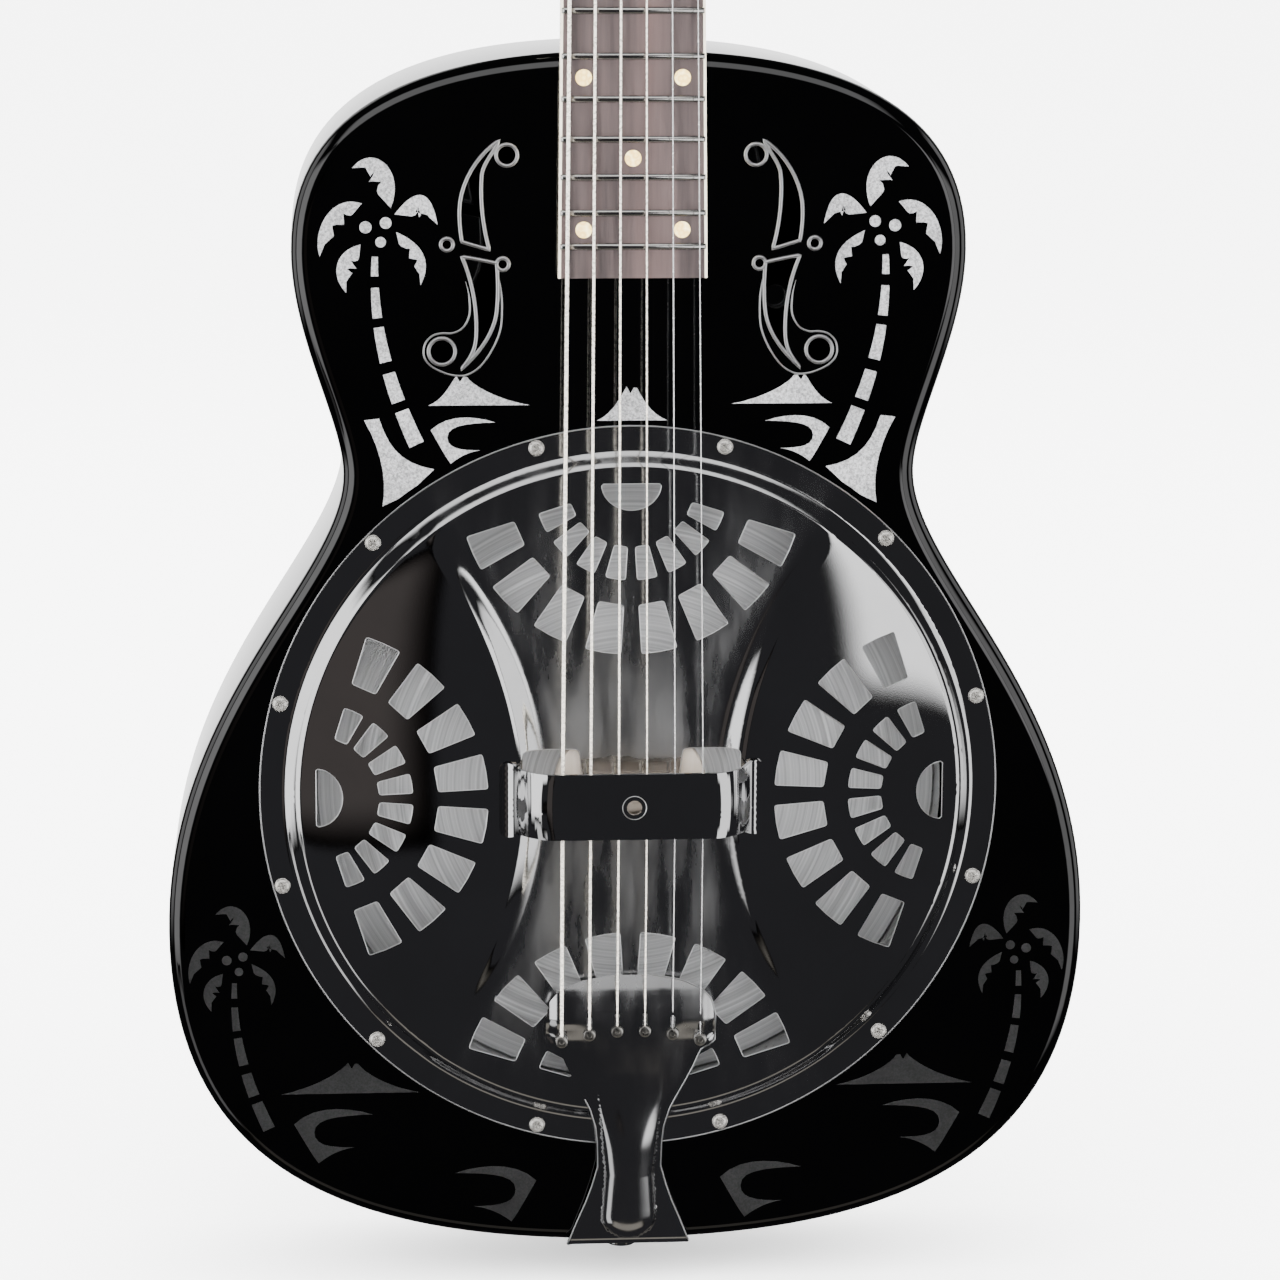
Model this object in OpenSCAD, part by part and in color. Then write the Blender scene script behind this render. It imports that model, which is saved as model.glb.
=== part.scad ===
// Resonator guitar: plated metal body, single spun cone, wooden neck joined at the 14th fret.
// +X is to the right seen from the front, +Y to the back and +Z up the neck. The origin is on
// the centre line at the body's tail, half way through its depth. Heights are measured forwards
// from the body's top.

/* [Body] */
// Depth of the body, front to back
body_depth = 84; // [80:1:90]
// Thickness of the body's sheet metal
wall = 1.2; // [1:0.1:1.6]
// Half the width of the lower bout
lower_half = 178.7; // [174:0.1:182]
// Height of the lower bout's widest place above the tail
lower_z = 128; // [124:1:132]
// Half the width of the waist
waist_half = 109.4; // [106:0.1:113]
// Height of the waist above the tail
waist_z = 308; // [305:1:311]
// Half the width of the upper bout
upper_half = 128.3; // [125:0.1:131]
// Height of the upper bout's widest place above the tail
upper_z = 393; // [390:1:396]

/* [Strings and scale] */
// Length of the strings from nut to saddle
scale_len = 635; // [630:1:640]
// Height of the saddle, and of the coverplate's centre, above the tail
plate_z = 184; // [182:1:186]
// Height of the strings above the body's top at the saddle
saddle_h = 19; // [18:0.5:20]
// Distance between the outer strings at the saddle
saddle_spread = 54; // [52:1:55]
// Distance between the outer strings at the nut
nut_spread = 41; // [39:1:42]

/* [Coverplate and cone] */
// Radius of the coverplate
plate_r = 143; // [142:0.5:144]
// Height of the coverplate's domes at its centre
dome_h = 14; // [13:0.5:15]
// Radius of the opening that the cone hangs in
well_r = 121; // [120:0.5:122]
// Depth of the soundwell's ledge below the body's top
well_depth = 18; // [17:0.5:20]
// Number of coverplate screws
screw_count = 12; // [8:1:16]
// Height of the hand rest above the body's top
rest_h = 28; // [27:0.5:30]

/* [Neck] */
// Angle that the neck leans back
neck_tilt = 1.5; // [1.2:0.1:1.8]
// Angle between the neck and the headstock
head_tilt = 14; // [12:0.5:16]
// Width of the fretboard at the nut
nut_w = 47.5; // [46:0.5:49]
// Width of the fretboard at its end
board_end_w = 56.2; // [55:0.2:57]
// Number of frets
fret_count = 19; // [17:1:19]
// Length of the headstock
head_len = 172; // [168:1:180]
// Half the width of the headstock at its widest
head_half = 37; // [36:0.5:38]

/* [Tuners] */
// Teeth on each tuner gear
gear_teeth = 14; // [13:1:15]
// Pitch radius of each tuner gear
gear_r = 5; // [4.9:0.05:5.1]
// Distance from a post's axis to its worm's axis
worm_drop = 7.2; // [7.2:0.05:7.3]

/* [Hidden] */
$fn = 48;

// Body
front_y = -body_depth / 2;
joint_z = plate_z + scale_len / pow(2, 14 / 12);
body_len = joint_z + 1.3;
curve_steps = 14;
HALF_OUTLINE = [
    [[0, 0], [102.5, 0], [lower_half, lower_z - 101.8], [lower_half, lower_z]],
    [[lower_half, lower_z], [lower_half, lower_z + 91.6], [waist_half, waist_z - 39.6],
        [waist_half, waist_z]],
    [[waist_half, waist_z], [waist_half, waist_z + 20], [upper_half, upper_z - 33.2],
        [upper_half, upper_z]],
    [[upper_half, upper_z], [upper_half, upper_z + 73.2], [38.7, body_len], [0, body_len]]];

// F-holes, as places on the body's top
F_HOLES = [[47, 429.5, 4], [69.6, 396, 2.3], [48.6, 388.5, 2.3], [71.7, 355.5, 5]];
UPPER_BLADE = [
    [[49.8, 435], [58, 430], [64.6, 419], [64.8, 409]],
    [[64.8, 409], [64.9, 405], [64.6, 401], [63.9, 397]],
    [[63.9, 397], [60.5, 396], [57, 395], [53.6, 393.9]],
    [[53.6, 393.9], [56, 402], [57.2, 413], [56.4, 422]],
    [[56.4, 422], [56, 426], [53, 429], [49.8, 435]]];
LOWER_BLADE = [
    [[64, 391.4], [60, 390.8], [55, 389.8], [50.9, 388.8]],
    [[50.9, 388.8], [50.4, 383], [50.3, 377], [50.9, 371]],
    [[50.9, 371], [51.5, 364], [56, 356], [64.6, 348.6]],
    [[64.6, 348.6], [60, 353.5], [59, 357], [58.7, 361]],
    [[58.7, 361], [58.2, 370], [59.5, 381], [64, 391.4]]];

// Coverplate
screw_ring_r = 0.973 * plate_r;
flange_r = plate_r - 10;
step_r = flange_r - 3.5;
step_h = 5;
plate_t = 1;
floor_h = 8.2;
slot_group_r = 121;
slot_angles = [-66.5, -47.5, -28.5, -9.5, 9.5, 28.5, 47.5, 66.5];
slot_span = 12;
opening_half = 42;
opening_z = 12;
window_in = 20;
window_z = 18.5;

// Cone and saddle
cone_top_h = -1.5;
biscuit_h = 6;
biscuit_r = 30;

// Tailpiece and tail
tail_t = 1.6;
tail_head_h = 8.6;
flap_h = 12.6;
ball_h = 13;
ball_t = 2.8;
pin_shank_r = 4;
pin_head_r = 7;
TAIL_HALF = [
    [[24.3, 0], [14, 12], [12.2, 20], [12.2, 33]],
    [[12.2, 33], [12.2, 52], [22, 62], [33, 77]],
    [[33, 77], [33, 84], [33, 90], [33, 98]],
    [[33, 98], [29, 107], [15, 113.5], [0, 113.5]]];
// The tailpiece from the side, as places up the body and heights: strap, then a hook that folds
// forwards and down over itself
TAIL_SIDE = [[-tail_t, -8], [-tail_t, 1.8], [9, 2.3], [57, 7.6], [80, tail_head_h + tail_t],
    [112, tail_head_h + tail_t], [112, flap_h], [84, flap_h], [84, flap_h + 1.4],
    [114, flap_h + 1.4], [114, tail_head_h], [80.4, tail_head_h], [57.4, 6], [9.3, 0.7],
    [0, 0.2], [0, -8]];

// Neck
board_t = 5.5;
board_h = 7;
board_ext = scale_len * (pow(2, -14 / 12) - pow(2, -20 / 12));
nut_l = scale_len - scale_len / pow(2, 14 / 12);
nut_t = 5;
nut_rise = 1.4;
binding_t = 1;
fret_r = 1.3;
neck_depth = 15.5;
heel_y = 56;
head_t = 15;
overlay_t = 1.2;
stick_w = 24;
stick_t = 20;
stick_y = -6;
rod_r = 3;

// Tuners
post_x = 20;
POST_Z = [36, 76, 116];
post_r = 3;
bore_r = 3.05;
bushing_r = 5;
plate_y = head_t + 1.5;
gear_y = plate_y + 1.9;
gear_t = 2;
worm_y = gear_y + gear_t / 2;
lead = 2 * PI * gear_r / gear_teeth;
worm_len = 4 * lead;
worm_r = 2.1;
worm_offset = 0.7;
worm_slices = 48;
worm_sides = 16;
shaft_r = 1.5;
button_x = 43;
button_l = 14;
winding_y = -4.6;

STRING_R = [0.72, 0.56, 0.44, 0.35, 0.25, 0.22];

function bez(p, t) = p[0] * pow(1 - t, 3) + 3 * p[1] * t * pow(1 - t, 2)
    + 3 * p[2] * t * t * (1 - t) + p[3] * pow(t, 3);
function bez_dir(p, t) = (p[1] - p[0]) * pow(1 - t, 2) + 2 * (p[2] - p[1]) * t * (1 - t)
    + (p[3] - p[2]) * t * t;
function inset_point(p, t, d) = let (u = bez_dir(p, t) / norm(bez_dir(p, t)))
    bez(p, t) + d * [-u[1], u[0]];
// The body's outline, moved inwards by d
function half_body(d) = [for (p = HALF_OUTLINE) for (i = [0:curve_steps - 1])
    inset_point(p, i / curve_steps, d)];
function body_outline(d) = let (half = half_body(d), n = len(half))
    concat(half, [[0, body_len - d]], [for (i = [n - 1:-1:1]) [-half[i][0], half[i][1]]]);
function chain(curves, steps) = [for (p = curves) for (i = [0:steps - 1]) bez(p, i / steps)];
// Turns a point about the X axis
function tip(p, a) = [p[0], p[1] * cos(a) - p[2] * sin(a), p[1] * sin(a) + p[2] * cos(a)];
function on_neck(p) = [0, front_y - board_h, joint_z] + tip(p, -neck_tilt);
function on_head(p) = on_neck([0, board_t, nut_l + nut_t] + tip(p, -head_tilt));
function board_w(z) = nut_w + (board_end_w - nut_w) * (nut_l - z) / (nut_l + board_ext);
function fret_z(n) = nut_l - scale_len * (1 - pow(2, -n / 12));
function string_x(n, spread) = spread * ((n - 1) / 5 - 0.5);
// The ball ends sit on a shallow arch across the tailpiece
function ball_place(n) = let (x = string_x(n, saddle_spread))
    [x, front_y - ball_h, 91 - 4 * pow(x / 27, 2)];
// Strings 1 to 3 go to the left posts from the nearest to the farthest, 4 to 6 to the right ones
function post_side(n) = n < 4 ? -1 : 1;
function post_z(n) = POST_Z[n < 4 ? n - 1 : 6 - n];

// A flat sheet from height h0 to height h1 above the body's top
module sheet(h0, h1) {
    translate([0, front_y - h0, 0]) rotate([90, 0, 0]) linear_extrude(h1 - h0) children();
}
module about_plate() {
    translate([0, front_y, plate_z]) rotate([90, 0, 0]) children();
}
module on_neck_frame() {
    translate([0, front_y - board_h, joint_z]) rotate([-neck_tilt, 0, 0]) children();
}
module on_head_frame() {
    on_neck_frame() translate([0, board_t, nut_l + nut_t]) rotate([-head_tilt, 0, 0]) children();
}
// A flat layer from y0 to y1, drawn by its X and Z outline
module layer(y0, y1) {
    translate([0, y1, 0]) rotate([90, 0, 0]) linear_extrude(y1 - y0) children();
}
module rod(p, q, r) {
    v = q - p;
    translate(p) rotate([0, acos(v[2] / norm(v)), atan2(v[1], v[0])])
        cylinder(r = r, h = norm(v), $fn = 24);
}

module f_holes() {
    for (s = [-1, 1]) sheet(-wall - 1, 1) {
        for (c = F_HOLES) translate([s * c[0], c[1]]) circle(r = c[2]);
        for (blade = [UPPER_BLADE, LOWER_BLADE])
            polygon([for (q = chain(blade, 4)) [s * q[0], q[1]]]);
    }
}
module screw_places() {
    for (i = [0:screw_count - 1])
        about_plate() rotate([0, 0, (i + 0.5) * 360 / screw_count]) translate([0, screw_ring_r, 0])
            children();
}

module body_top() {
    color([0.16, 0.16, 0.17]) difference() {
        sheet(-wall, 0) polygon(body_outline(0));
        about_plate() translate([0, 0, -wall - 1]) cylinder(r = well_r, h = wall + 2, $fn = 120);
        f_holes();
    }
}
module body_sides() {
    color([0.16, 0.16, 0.17]) difference() {
        sheet(wall - body_depth, -wall) polygon(body_outline(0));
        sheet(-body_depth, 0) polygon(body_outline(wall));
        translate([0, 0, -1]) cylinder(r = pin_shank_r, h = 4);
        translate([-stick_w / 2, stick_y - stick_t / 2, body_len - 8]) cube([stick_w, stick_t, 12]);
    }
}
module body_back() {
    color([0.16, 0.16, 0.17]) sheet(-body_depth, wall - body_depth) polygon(body_outline(0));
}
module soundwell() {
    color([0.6, 0.6, 0.62]) about_plate() rotate_extrude($fn = 120)
        polygon([[well_r, -wall], [well_r + wall, -wall], [well_r + wall, -well_depth - wall],
            [well_r - 9, -well_depth - wall], [well_r - 9, -well_depth], [well_r, -well_depth]]);
}
module cone() {
    skin = 0.8;
    color([0.62, 0.62, 0.62]) about_plate() rotate_extrude($fn = 120)
        polygon([[2.1, cone_top_h], [14, cone_top_h], [60, cone_top_h - 5.8],
            [108, -well_depth + 1.5], [112, -well_depth + skin], [well_r - 0.5, -well_depth + skin],
            [well_r - 0.5, -well_depth], [111, -well_depth], [107, -well_depth + 0.6],
            [59, cone_top_h - 6.7], [13, cone_top_h - skin], [2.1, cone_top_h - skin]]);
}
module biscuit() {
    color([0.72, 0.56, 0.36]) about_plate() difference() {
        translate([0, 0, cone_top_h]) cylinder(r = biscuit_r, h = biscuit_h - cone_top_h);
        translate([0, 0, cone_top_h - 1]) cylinder(r = 1.6, h = 6);
    }
}
module biscuit_screw() {
    color([0.75, 0.72, 0.6]) about_plate() {
        translate([0, 0, cone_top_h - 3]) cylinder(r = 3.6, h = 2.2);
        translate([0, 0, cone_top_h - 2]) cylinder(r = 1.6, h = 6);
    }
}
module saddle() {
    half_w = saddle_spread / 2 + 3.5;
    color([0.85, 0.76, 0.6]) about_plate() translate([-half_w, -1.7, biscuit_h])
        cube([2 * half_w, 3.4, saddle_h - biscuit_h]);
}

// Height of the dome at a distance r from the plate's centre
function dome(r) = step_h + (dome_h - step_h) * (1 - pow(r / step_r, 2));
module plate_solid(drop) {
    rotate_extrude($fn = 120) polygon(concat([[0, -2]], [[flange_r, -2], [flange_r, plate_t - drop],
        [step_r, step_h - drop]], [for (i = [7:-1:0]) [step_r * i / 8, dome(step_r * i / 8) - drop]]));
}
// The hourglass valley that the strings run through, above its floor
function valley_half(s) = 38 + 0.0036 * s * s;
module valley(extra) {
    depth_at = floor_h - extra;
    intersection() {
        linear_extrude(30) polygon(concat(
            [for (s = [-120:10:120]) [valley_half(s) + extra, s]],
            [for (s = [120:-10:-120]) [-valley_half(s) - extra, s]]));
        translate([-160, 0, 0]) rotate([90, 0, 90]) linear_extrude(320) polygon(
            [[-150, step_h - extra - 0.6], [-42, depth_at], [42, depth_at],
                [150, step_h - extra - 0.6], [150, 30], [-150, 30]]);
    }
}
module ring_slot(r0, r1) {
    half = slot_span / 2;
    polygon(concat([for (a = [-half:3:half]) r1 * [sin(a), cos(a)]],
        [for (a = [half:-3:-half]) r0 * [sin(a), cos(a)]]));
}
module slot_fan() {
    // The half-moon: a flat side towards the rim, bulging to the centre
    polygon([for (a = [0:15:180]) [11.5 * cos(a), 10.2 * sin(a)]]);
    for (a = slot_angles) rotate(a) {
        ring_slot(24.3, 37.1);
        ring_slot(46.9, 65.9);
    }
}
module coverplate() {
    color([0.78, 0.78, 0.8]) about_plate() difference() {
        union() {
            cylinder(r = plate_r, h = plate_t, $fn = 120);
            difference() {
                plate_solid(0);
                translate([0, 0, -4]) cylinder(r = plate_r + 1, h = 4);
                valley(0);
            }
        }
        difference() {
            plate_solid(plate_t);
            valley(plate_t);
        }
        for (q = [0:90:270]) rotate(q) translate([0, -slot_group_r, -3]) linear_extrude(30) slot_fan();
        // The opening for the saddle, and the two windows that show above the hand rest
        translate([-opening_half, -opening_z, 0]) cube([2 * opening_half, 2 * opening_z, 30]);
        for (s = [-1, 1]) translate([s * (opening_half + window_in) / 2, window_z / 2, 15])
            cube([opening_half - window_in, window_z, 30], center = true);
        for (i = [0:screw_count - 1]) rotate([0, 0, (i + 0.5) * 360 / screw_count])
            translate([0, screw_ring_r, -1]) cylinder(r = 1.3, h = 4);
    }
}
module coverplate_screws() {
    color([0.8, 0.8, 0.82]) screw_places() {
        translate([0, 0, plate_t]) cylinder(r1 = 3.1, r2 = 2.1, h = 1.5);
        translate([0, 0, -7]) cylinder(r = 1.3, h = 7 + plate_t);
    }
}
module hand_rest() {
    foot_h = 12.8;
    half_z = 12.8;
    hole_r = 2.9;
    color([0.8, 0.8, 0.82]) difference() {
        translate([0, front_y, plate_z - half_z]) linear_extrude(2 * half_z)
            polygon([[-51, -foot_h], [-43.5, -foot_h], [-35.5, tail_t - rest_h],
                [35.5, tail_t - rest_h], [43.5, -foot_h], [51, -foot_h], [51, -foot_h - 1.3],
                [44.6, -foot_h - 1.6], [36.6, -rest_h], [-36.6, -rest_h],
                [-44.6, -foot_h - 1.6], [-51, -foot_h - 1.3]]);
        about_plate() translate([0, 0, rest_h - 3]) cylinder(r = hole_r, h = 5);
        about_plate() translate([0, 0, rest_h - 1]) cylinder(r1 = hole_r, r2 = 5, h = 1.2);
    }
}

module tailpiece() {
    right = chain(TAIL_HALF, 7);
    outline = concat([[24.3, -5]], right, [[0, 112.5]],
        [for (i = [len(right) - 1:-1:0]) [-right[i][0], right[i][1]]], [[-24.3, -5]]);
    color([0.8, 0.8, 0.82]) difference() {
        union() {
            intersection() {
                sheet(-8, 30) polygon(outline);
                translate([-40, front_y, 0]) rotate([90, 0, 90]) linear_extrude(80)
                    polygon([for (p = TAIL_SIDE) [-p[1], p[0]]]);
            }
            // The fold over the tail, out to the end pin
            translate([0, 0, -tail_t]) linear_extrude(tail_t) polygon([[-24.3, front_y + 8],
                [24.3, front_y + 8], [12, -4], [9, 9], [-9, 9], [-12, -4]]);
        }
        translate([0, 0, -5]) cylinder(r = pin_shank_r, h = 8);
    }
}
module ball_ends() {
    color([0.83, 0.68, 0.35]) for (n = [1:6])
        translate(ball_place(n)) rotate([90, 0, 0]) cylinder(r = 2.35, h = ball_t, center = true);
}
module end_pin() {
    color([0.8, 0.8, 0.82]) {
        translate([0, 0, -15]) cylinder(r = pin_head_r, h = 3.5);
        translate([0, 0, -11.5]) cylinder(r1 = 3.4, r2 = 6, h = 11.5 - tail_t);
        translate([0, 0, -tail_t]) cylinder(r = pin_shank_r, h = 19);
    }
}
module tail_block() {
    color([0.75, 0.6, 0.42]) difference() {
        translate([-22, -20, wall]) cube([44, 50, 18]);
        translate([0, 0, -1]) cylinder(r = pin_shank_r, h = 30);
        sheet(-body_depth, 0) difference() {
            translate([-30, -5]) square([60, 20]);
            polygon(body_outline(wall));
        }
    }
}

function half_round(w, d) = [for (a = [0:9:180]) [w / 2 * cos(a), d * sin(a)]];
module neck_slice(z, w, d) {
    translate([0, board_t, z]) linear_extrude(1) polygon(half_round(w, d));
}
module head_outline() {
    polygon([[-23.7, -6], [23.7, -6], [24.5, 6], [34.5, 24], [head_half, head_len - 8],
        [22, head_len - 3], [0, head_len], [-22, head_len - 3], [-head_half, head_len - 8],
        [-34.5, 24], [-24.5, 6]]);
}
module neck() {
    joint_w = board_w(0);
    color([0.24, 0.13, 0.08]) difference() {
        union() {
            on_neck_frame() hull() {
                neck_slice(0, joint_w, neck_depth + 3);
                neck_slice(nut_l, nut_w, neck_depth);
            }
            on_neck_frame() hull() {
                neck_slice(-5, joint_w, neck_depth + 3);
                neck_slice(28, joint_w - 1, neck_depth + 3);
                translate([0, heel_y - 1, -5]) rotate([-90, 0, 0]) cylinder(r = 14, h = 1, $fn = 32);
            }
            on_head_frame() layer(0, head_t) head_outline();
            // The block under the fretboard's end, down to the body's top
            translate([-joint_w / 2 + 1, 0, 0]) rotate([90, 0, 90]) linear_extrude(joint_w - 2)
                polygon([[front_y, joint_z - board_ext + 3], [front_y, joint_z + 6],
                    [front_y - 1.7, joint_z + 6], [front_y - 3.5, joint_z - board_ext + 3]]);
        }
        sheet(-body_depth - 5, 0) polygon(body_outline(0));
        on_neck_frame() translate([-rod_r, 0, 12]) cube([2 * rod_r, board_t + 2 * rod_r, nut_l]);
        on_neck_frame() translate([-40, -5, -board_ext - 5])
            cube([80, board_t + 5, board_ext + nut_l + nut_t + 5]);
        on_head_frame() for (n = [1:6])
            translate([post_side(n) * post_x, -2, post_z(n)]) rotate([-90, 0, 0])
                cylinder(r = bushing_r, h = head_t + 4);
    }
}
module neck_stick() {
    color([0.75, 0.6, 0.42]) translate([-stick_w / 2, stick_y - stick_t / 2, wall + 18])
        cube([stick_w, stick_t, body_len - wall - 18.8]);
}
module stick_posts() {
    under = stick_y + stick_t / 2;
    color([0.75, 0.6, 0.42]) for (z = [plate_z - 60, plate_z, plate_z + 60])
        translate([0, under, z]) rotate([-90, 0, 0])
            cylinder(r = 9, h = body_depth / 2 - wall - under);
}
module heel_cap() {
    color([0.1, 0.1, 0.1]) difference() {
        on_neck_frame() translate([0, heel_y, -5]) rotate([-90, 0, 0]) cylinder(r = 14, h = 1.6);
        sheet(-body_depth - 5, 0) polygon(body_outline(0));
    }
}
module board_layer(inset, z0, z1) {
    polygon([[-board_w(z0) / 2 + inset, z0], [board_w(z0) / 2 - inset, z0],
        [board_w(z1) / 2 - inset, z1], [-board_w(z1) / 2 + inset, z1]]);
}
module fretboard() {
    color([0.27, 0.16, 0.11]) on_neck_frame() layer(0, board_t)
        board_layer(binding_t, -board_ext, nut_l);
}
module fretboard_binding() {
    color([0.85, 0.78, 0.6]) on_neck_frame() layer(0, board_t) difference() {
        board_layer(0, -board_ext, nut_l);
        board_layer(binding_t, -board_ext - 1, nut_l + 1);
    }
}
module frets() {
    color([0.8, 0.8, 0.78]) on_neck_frame() for (n = [1:fret_count]) {
        half_w = board_w(fret_z(n)) / 2 - 0.6;
        translate([-half_w, 0.4, fret_z(n)]) rotate([0, 90, 0]) cylinder(r = fret_r, h = 2 * half_w);
    }
}
module position_dots() {
    color([0.86, 0.76, 0.5]) on_neck_frame() for (n = [3, 5, 7, 9, 12, 15, 17, 19]) {
        pair = n == 12 || n == 15 || n == 19;
        for (x = pair ? [-18.5, 18.5] : [0])
            translate([x, -0.05, (fret_z(n) + fret_z(n - 1)) / 2]) rotate([-90, 0, 0])
                cylinder(r = 3.1, h = 1.5);
    }
}
module nut() {
    color([0.93, 0.9, 0.82]) on_neck_frame()
        translate([-nut_w / 2, -nut_rise - 0.6, nut_l]) cube([nut_w, board_t + nut_rise + 0.6, nut_t]);
}
module truss_rod() {
    color([0.5, 0.5, 0.5]) on_neck_frame() translate([0, board_t + rod_r, 14])
        cylinder(r = rod_r, h = nut_l - 20);
}
module truss_rod_cover() {
    color([0.1, 0.1, 0.1]) on_head_frame() layer(-overlay_t - 1.5, -overlay_t)
        polygon([[-10, 2], [10, 2], [8, 20], [3, 30], [-3, 30], [-8, 20]]);
}
module headstock_overlay() {
    color([0.12, 0.08, 0.07]) on_head_frame() difference() {
        layer(-overlay_t, 0) intersection() {
            head_outline();
            translate([-50, 0.8]) square([100, head_len + 10]);
        }
        for (n = [1:6]) translate([post_side(n) * post_x, -5, post_z(n)]) rotate([-90, 0, 0])
            cylinder(r = bushing_r, h = 10);
    }
}
module tuner_plates() {
    ear_h = 5.3;
    color([0.8, 0.8, 0.82]) on_head_frame() difference() {
        union() {
            for (s = [-1, 1]) layer(head_t, plate_y) translate([s * post_x - 8.5, 16])
                square([17, 114]);
            for (n = [1:6]) for (e = [-8.1, 6.6])
                translate([post_side(n) * post_x + e, plate_y, post_z(n) - worm_drop - 2.5])
                    cube([1.5, ear_h, 5]);
        }
        for (n = [1:6]) translate([post_side(n) * post_x, head_t - 1, post_z(n)])
            rotate([-90, 0, 0]) cylinder(r = bore_r, h = 5);
        for (n = [1:6]) translate([post_side(n) * post_x - 10, worm_y, post_z(n) - worm_drop])
            rotate([0, 90, 0]) cylinder(r = shaft_r + 0.05, h = 20);
    }
}
module tuner_bushings() {
    color([0.8, 0.8, 0.82]) on_head_frame() for (n = [1:6])
        translate([post_side(n) * post_x, 0, post_z(n)]) rotate([-90, 0, 0]) difference() {
            union() {
                translate([0, 0, -overlay_t]) cylinder(r = bushing_r, h = 9);
                translate([0, 0, -overlay_t - 1]) cylinder(r = 6.8, h = 1);
            }
            translate([0, 0, -5]) cylinder(r = bore_r, h = 20);
        }
}
module plate_screws() {
    color([0.8, 0.8, 0.82]) on_head_frame() for (s = [-1, 1]) for (z = [20.5, 56, 96, 126])
        translate([s * post_x, plate_y, z]) rotate([-90, 0, 0]) {
            cylinder(r1 = 2.2, r2 = 1.6, h = 1);
            translate([0, 0, -8]) cylinder(r = 1, h = 8);
        }
}

// A string, from its ball end over the saddle and the nut to the inner side of its post
module string_n(n) {
    r = STRING_R[n - 1];
    saddle_top = [string_x(n, saddle_spread), front_y - saddle_h, plate_z];
    nut_top = on_neck([string_x(n, nut_spread), -nut_rise, nut_l + nut_t / 2]);
    inner = post_x - post_r - 2.3 * r - 0.15;
    post_end = on_head([post_side(n) * inner, winding_y, post_z(n)]);
    color(n < 5 ? [0.78, 0.66, 0.42] : [0.85, 0.85, 0.86]) {
        rod(ball_place(n), saddle_top, r);
        rod(saddle_top, nut_top, r);
        rod(nut_top, post_end, r);
        for (p = [saddle_top, nut_top]) translate(p) sphere(r = 1.12 * r, $fn = 16);
    }
}
module post_n(n) {
    color([0.8, 0.8, 0.82]) on_head_frame() translate([post_side(n) * post_x, 0, post_z(n)])
        rotate([-90, 0, 0]) {
            translate([0, 0, -10]) cylinder(r = post_r, h = gear_y + 10);
            translate([0, 0, gear_y]) cylinder(r = 2, h = gear_t);
            translate([0, 0, winding_y - 2.2]) cylinder(r = post_r + 2 * STRING_R[n - 1] * 0.6, h = 4.4);
        }
}
module gear_n(n) {
    tip_r = gear_r + 0.55;
    root_r = gear_r - 0.85;
    a_root = 8.2;
    a_mid = 4.2;
    a_tip = 1.8;
    color([0.83, 0.68, 0.35]) on_head_frame()
        translate([post_side(n) * post_x, gear_y, post_z(n)]) rotate([-90, 0, 0]) difference() {
            union() {
                linear_extrude(gear_t) polygon([for (i = [0:gear_teeth - 1])
                    for (q = [[root_r, -a_root], [gear_r, -a_mid], [tip_r, -a_tip], [tip_r, a_tip],
                            [gear_r, a_mid], [root_r, a_root]])
                        q[0] * [sin(i * 360 / gear_teeth + q[1]), cos(i * 360 / gear_teeth + q[1])]]);
                translate([0, 0, gear_t]) cylinder(r = 3, h = 1.4);
            }
            translate([0, 0, -1]) cylinder(r = 2, h = 1 + gear_t);
        }
}
module worm_n(n) {
    s = post_side(n);
    color([0.83, 0.68, 0.35]) on_head_frame()
        translate([s * post_x, worm_y, post_z(n) - worm_drop]) rotate([0, 90, 0]) {
            // The thread: a circle off the axis, turned four times along the worm
            translate([0, 0, -worm_len / 2])
                linear_extrude(worm_len, twist = -4 * 360, slices = worm_slices, $fn = worm_sides)
                    translate([worm_offset, 0]) circle(r = worm_r);
            for (e = [-1, 1]) {
                near = worm_len / 2 + 1;
                far = e == s ? button_x - post_x : 9;
                translate([0, 0, e * (worm_len / 2 + 0.9)])
                    cylinder(r = 2.3, h = 2, center = true);
                translate([0, 0, e * (near + far) / 2])
                    cylinder(r = shaft_r, h = far - near, center = true);
            }
        }
}
module button_n(n) {
    s = post_side(n);
    color([0.86, 0.84, 0.78]) on_head_frame()
        translate([s * button_x, worm_y, post_z(n) - worm_drop]) rotate([0, s * 90, 0]) {
            cylinder(r1 = 2.8, r2 = 3.4, h = 3);
            hull() for (e = [-1, 1]) translate([e * 4.5, 0, 3])
                cylinder(r = 3.6, h = button_l - 3, $fn = 32);
        }
}

body_top();
body_sides();
body_back();
soundwell();
cone();
biscuit();
biscuit_screw();
saddle();
coverplate();
coverplate_screws();
hand_rest();
tailpiece();
end_pin();
tail_block();
neck();
neck_stick();
stick_posts();
fretboard();
fretboard_binding();
frets();
position_dots();
nut();
truss_rod();
truss_rod_cover();
headstock_overlay();
heel_cap();
tuner_plates();
tuner_bushings();
plate_screws();
ball_ends();
for (n = [1:6]) {
    string_n(n);
    post_n(n);
    gear_n(n);
    worm_n(n);
    button_n(n);
}
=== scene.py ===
"""Resonator guitar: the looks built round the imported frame. Lengths are millimetres inside the
functions and metres in Blender; MM turns one into the other."""
import math

import bmesh
import bpy
import numpy as np
from mathutils import Matrix, Vector, geometry, kdtree


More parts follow.
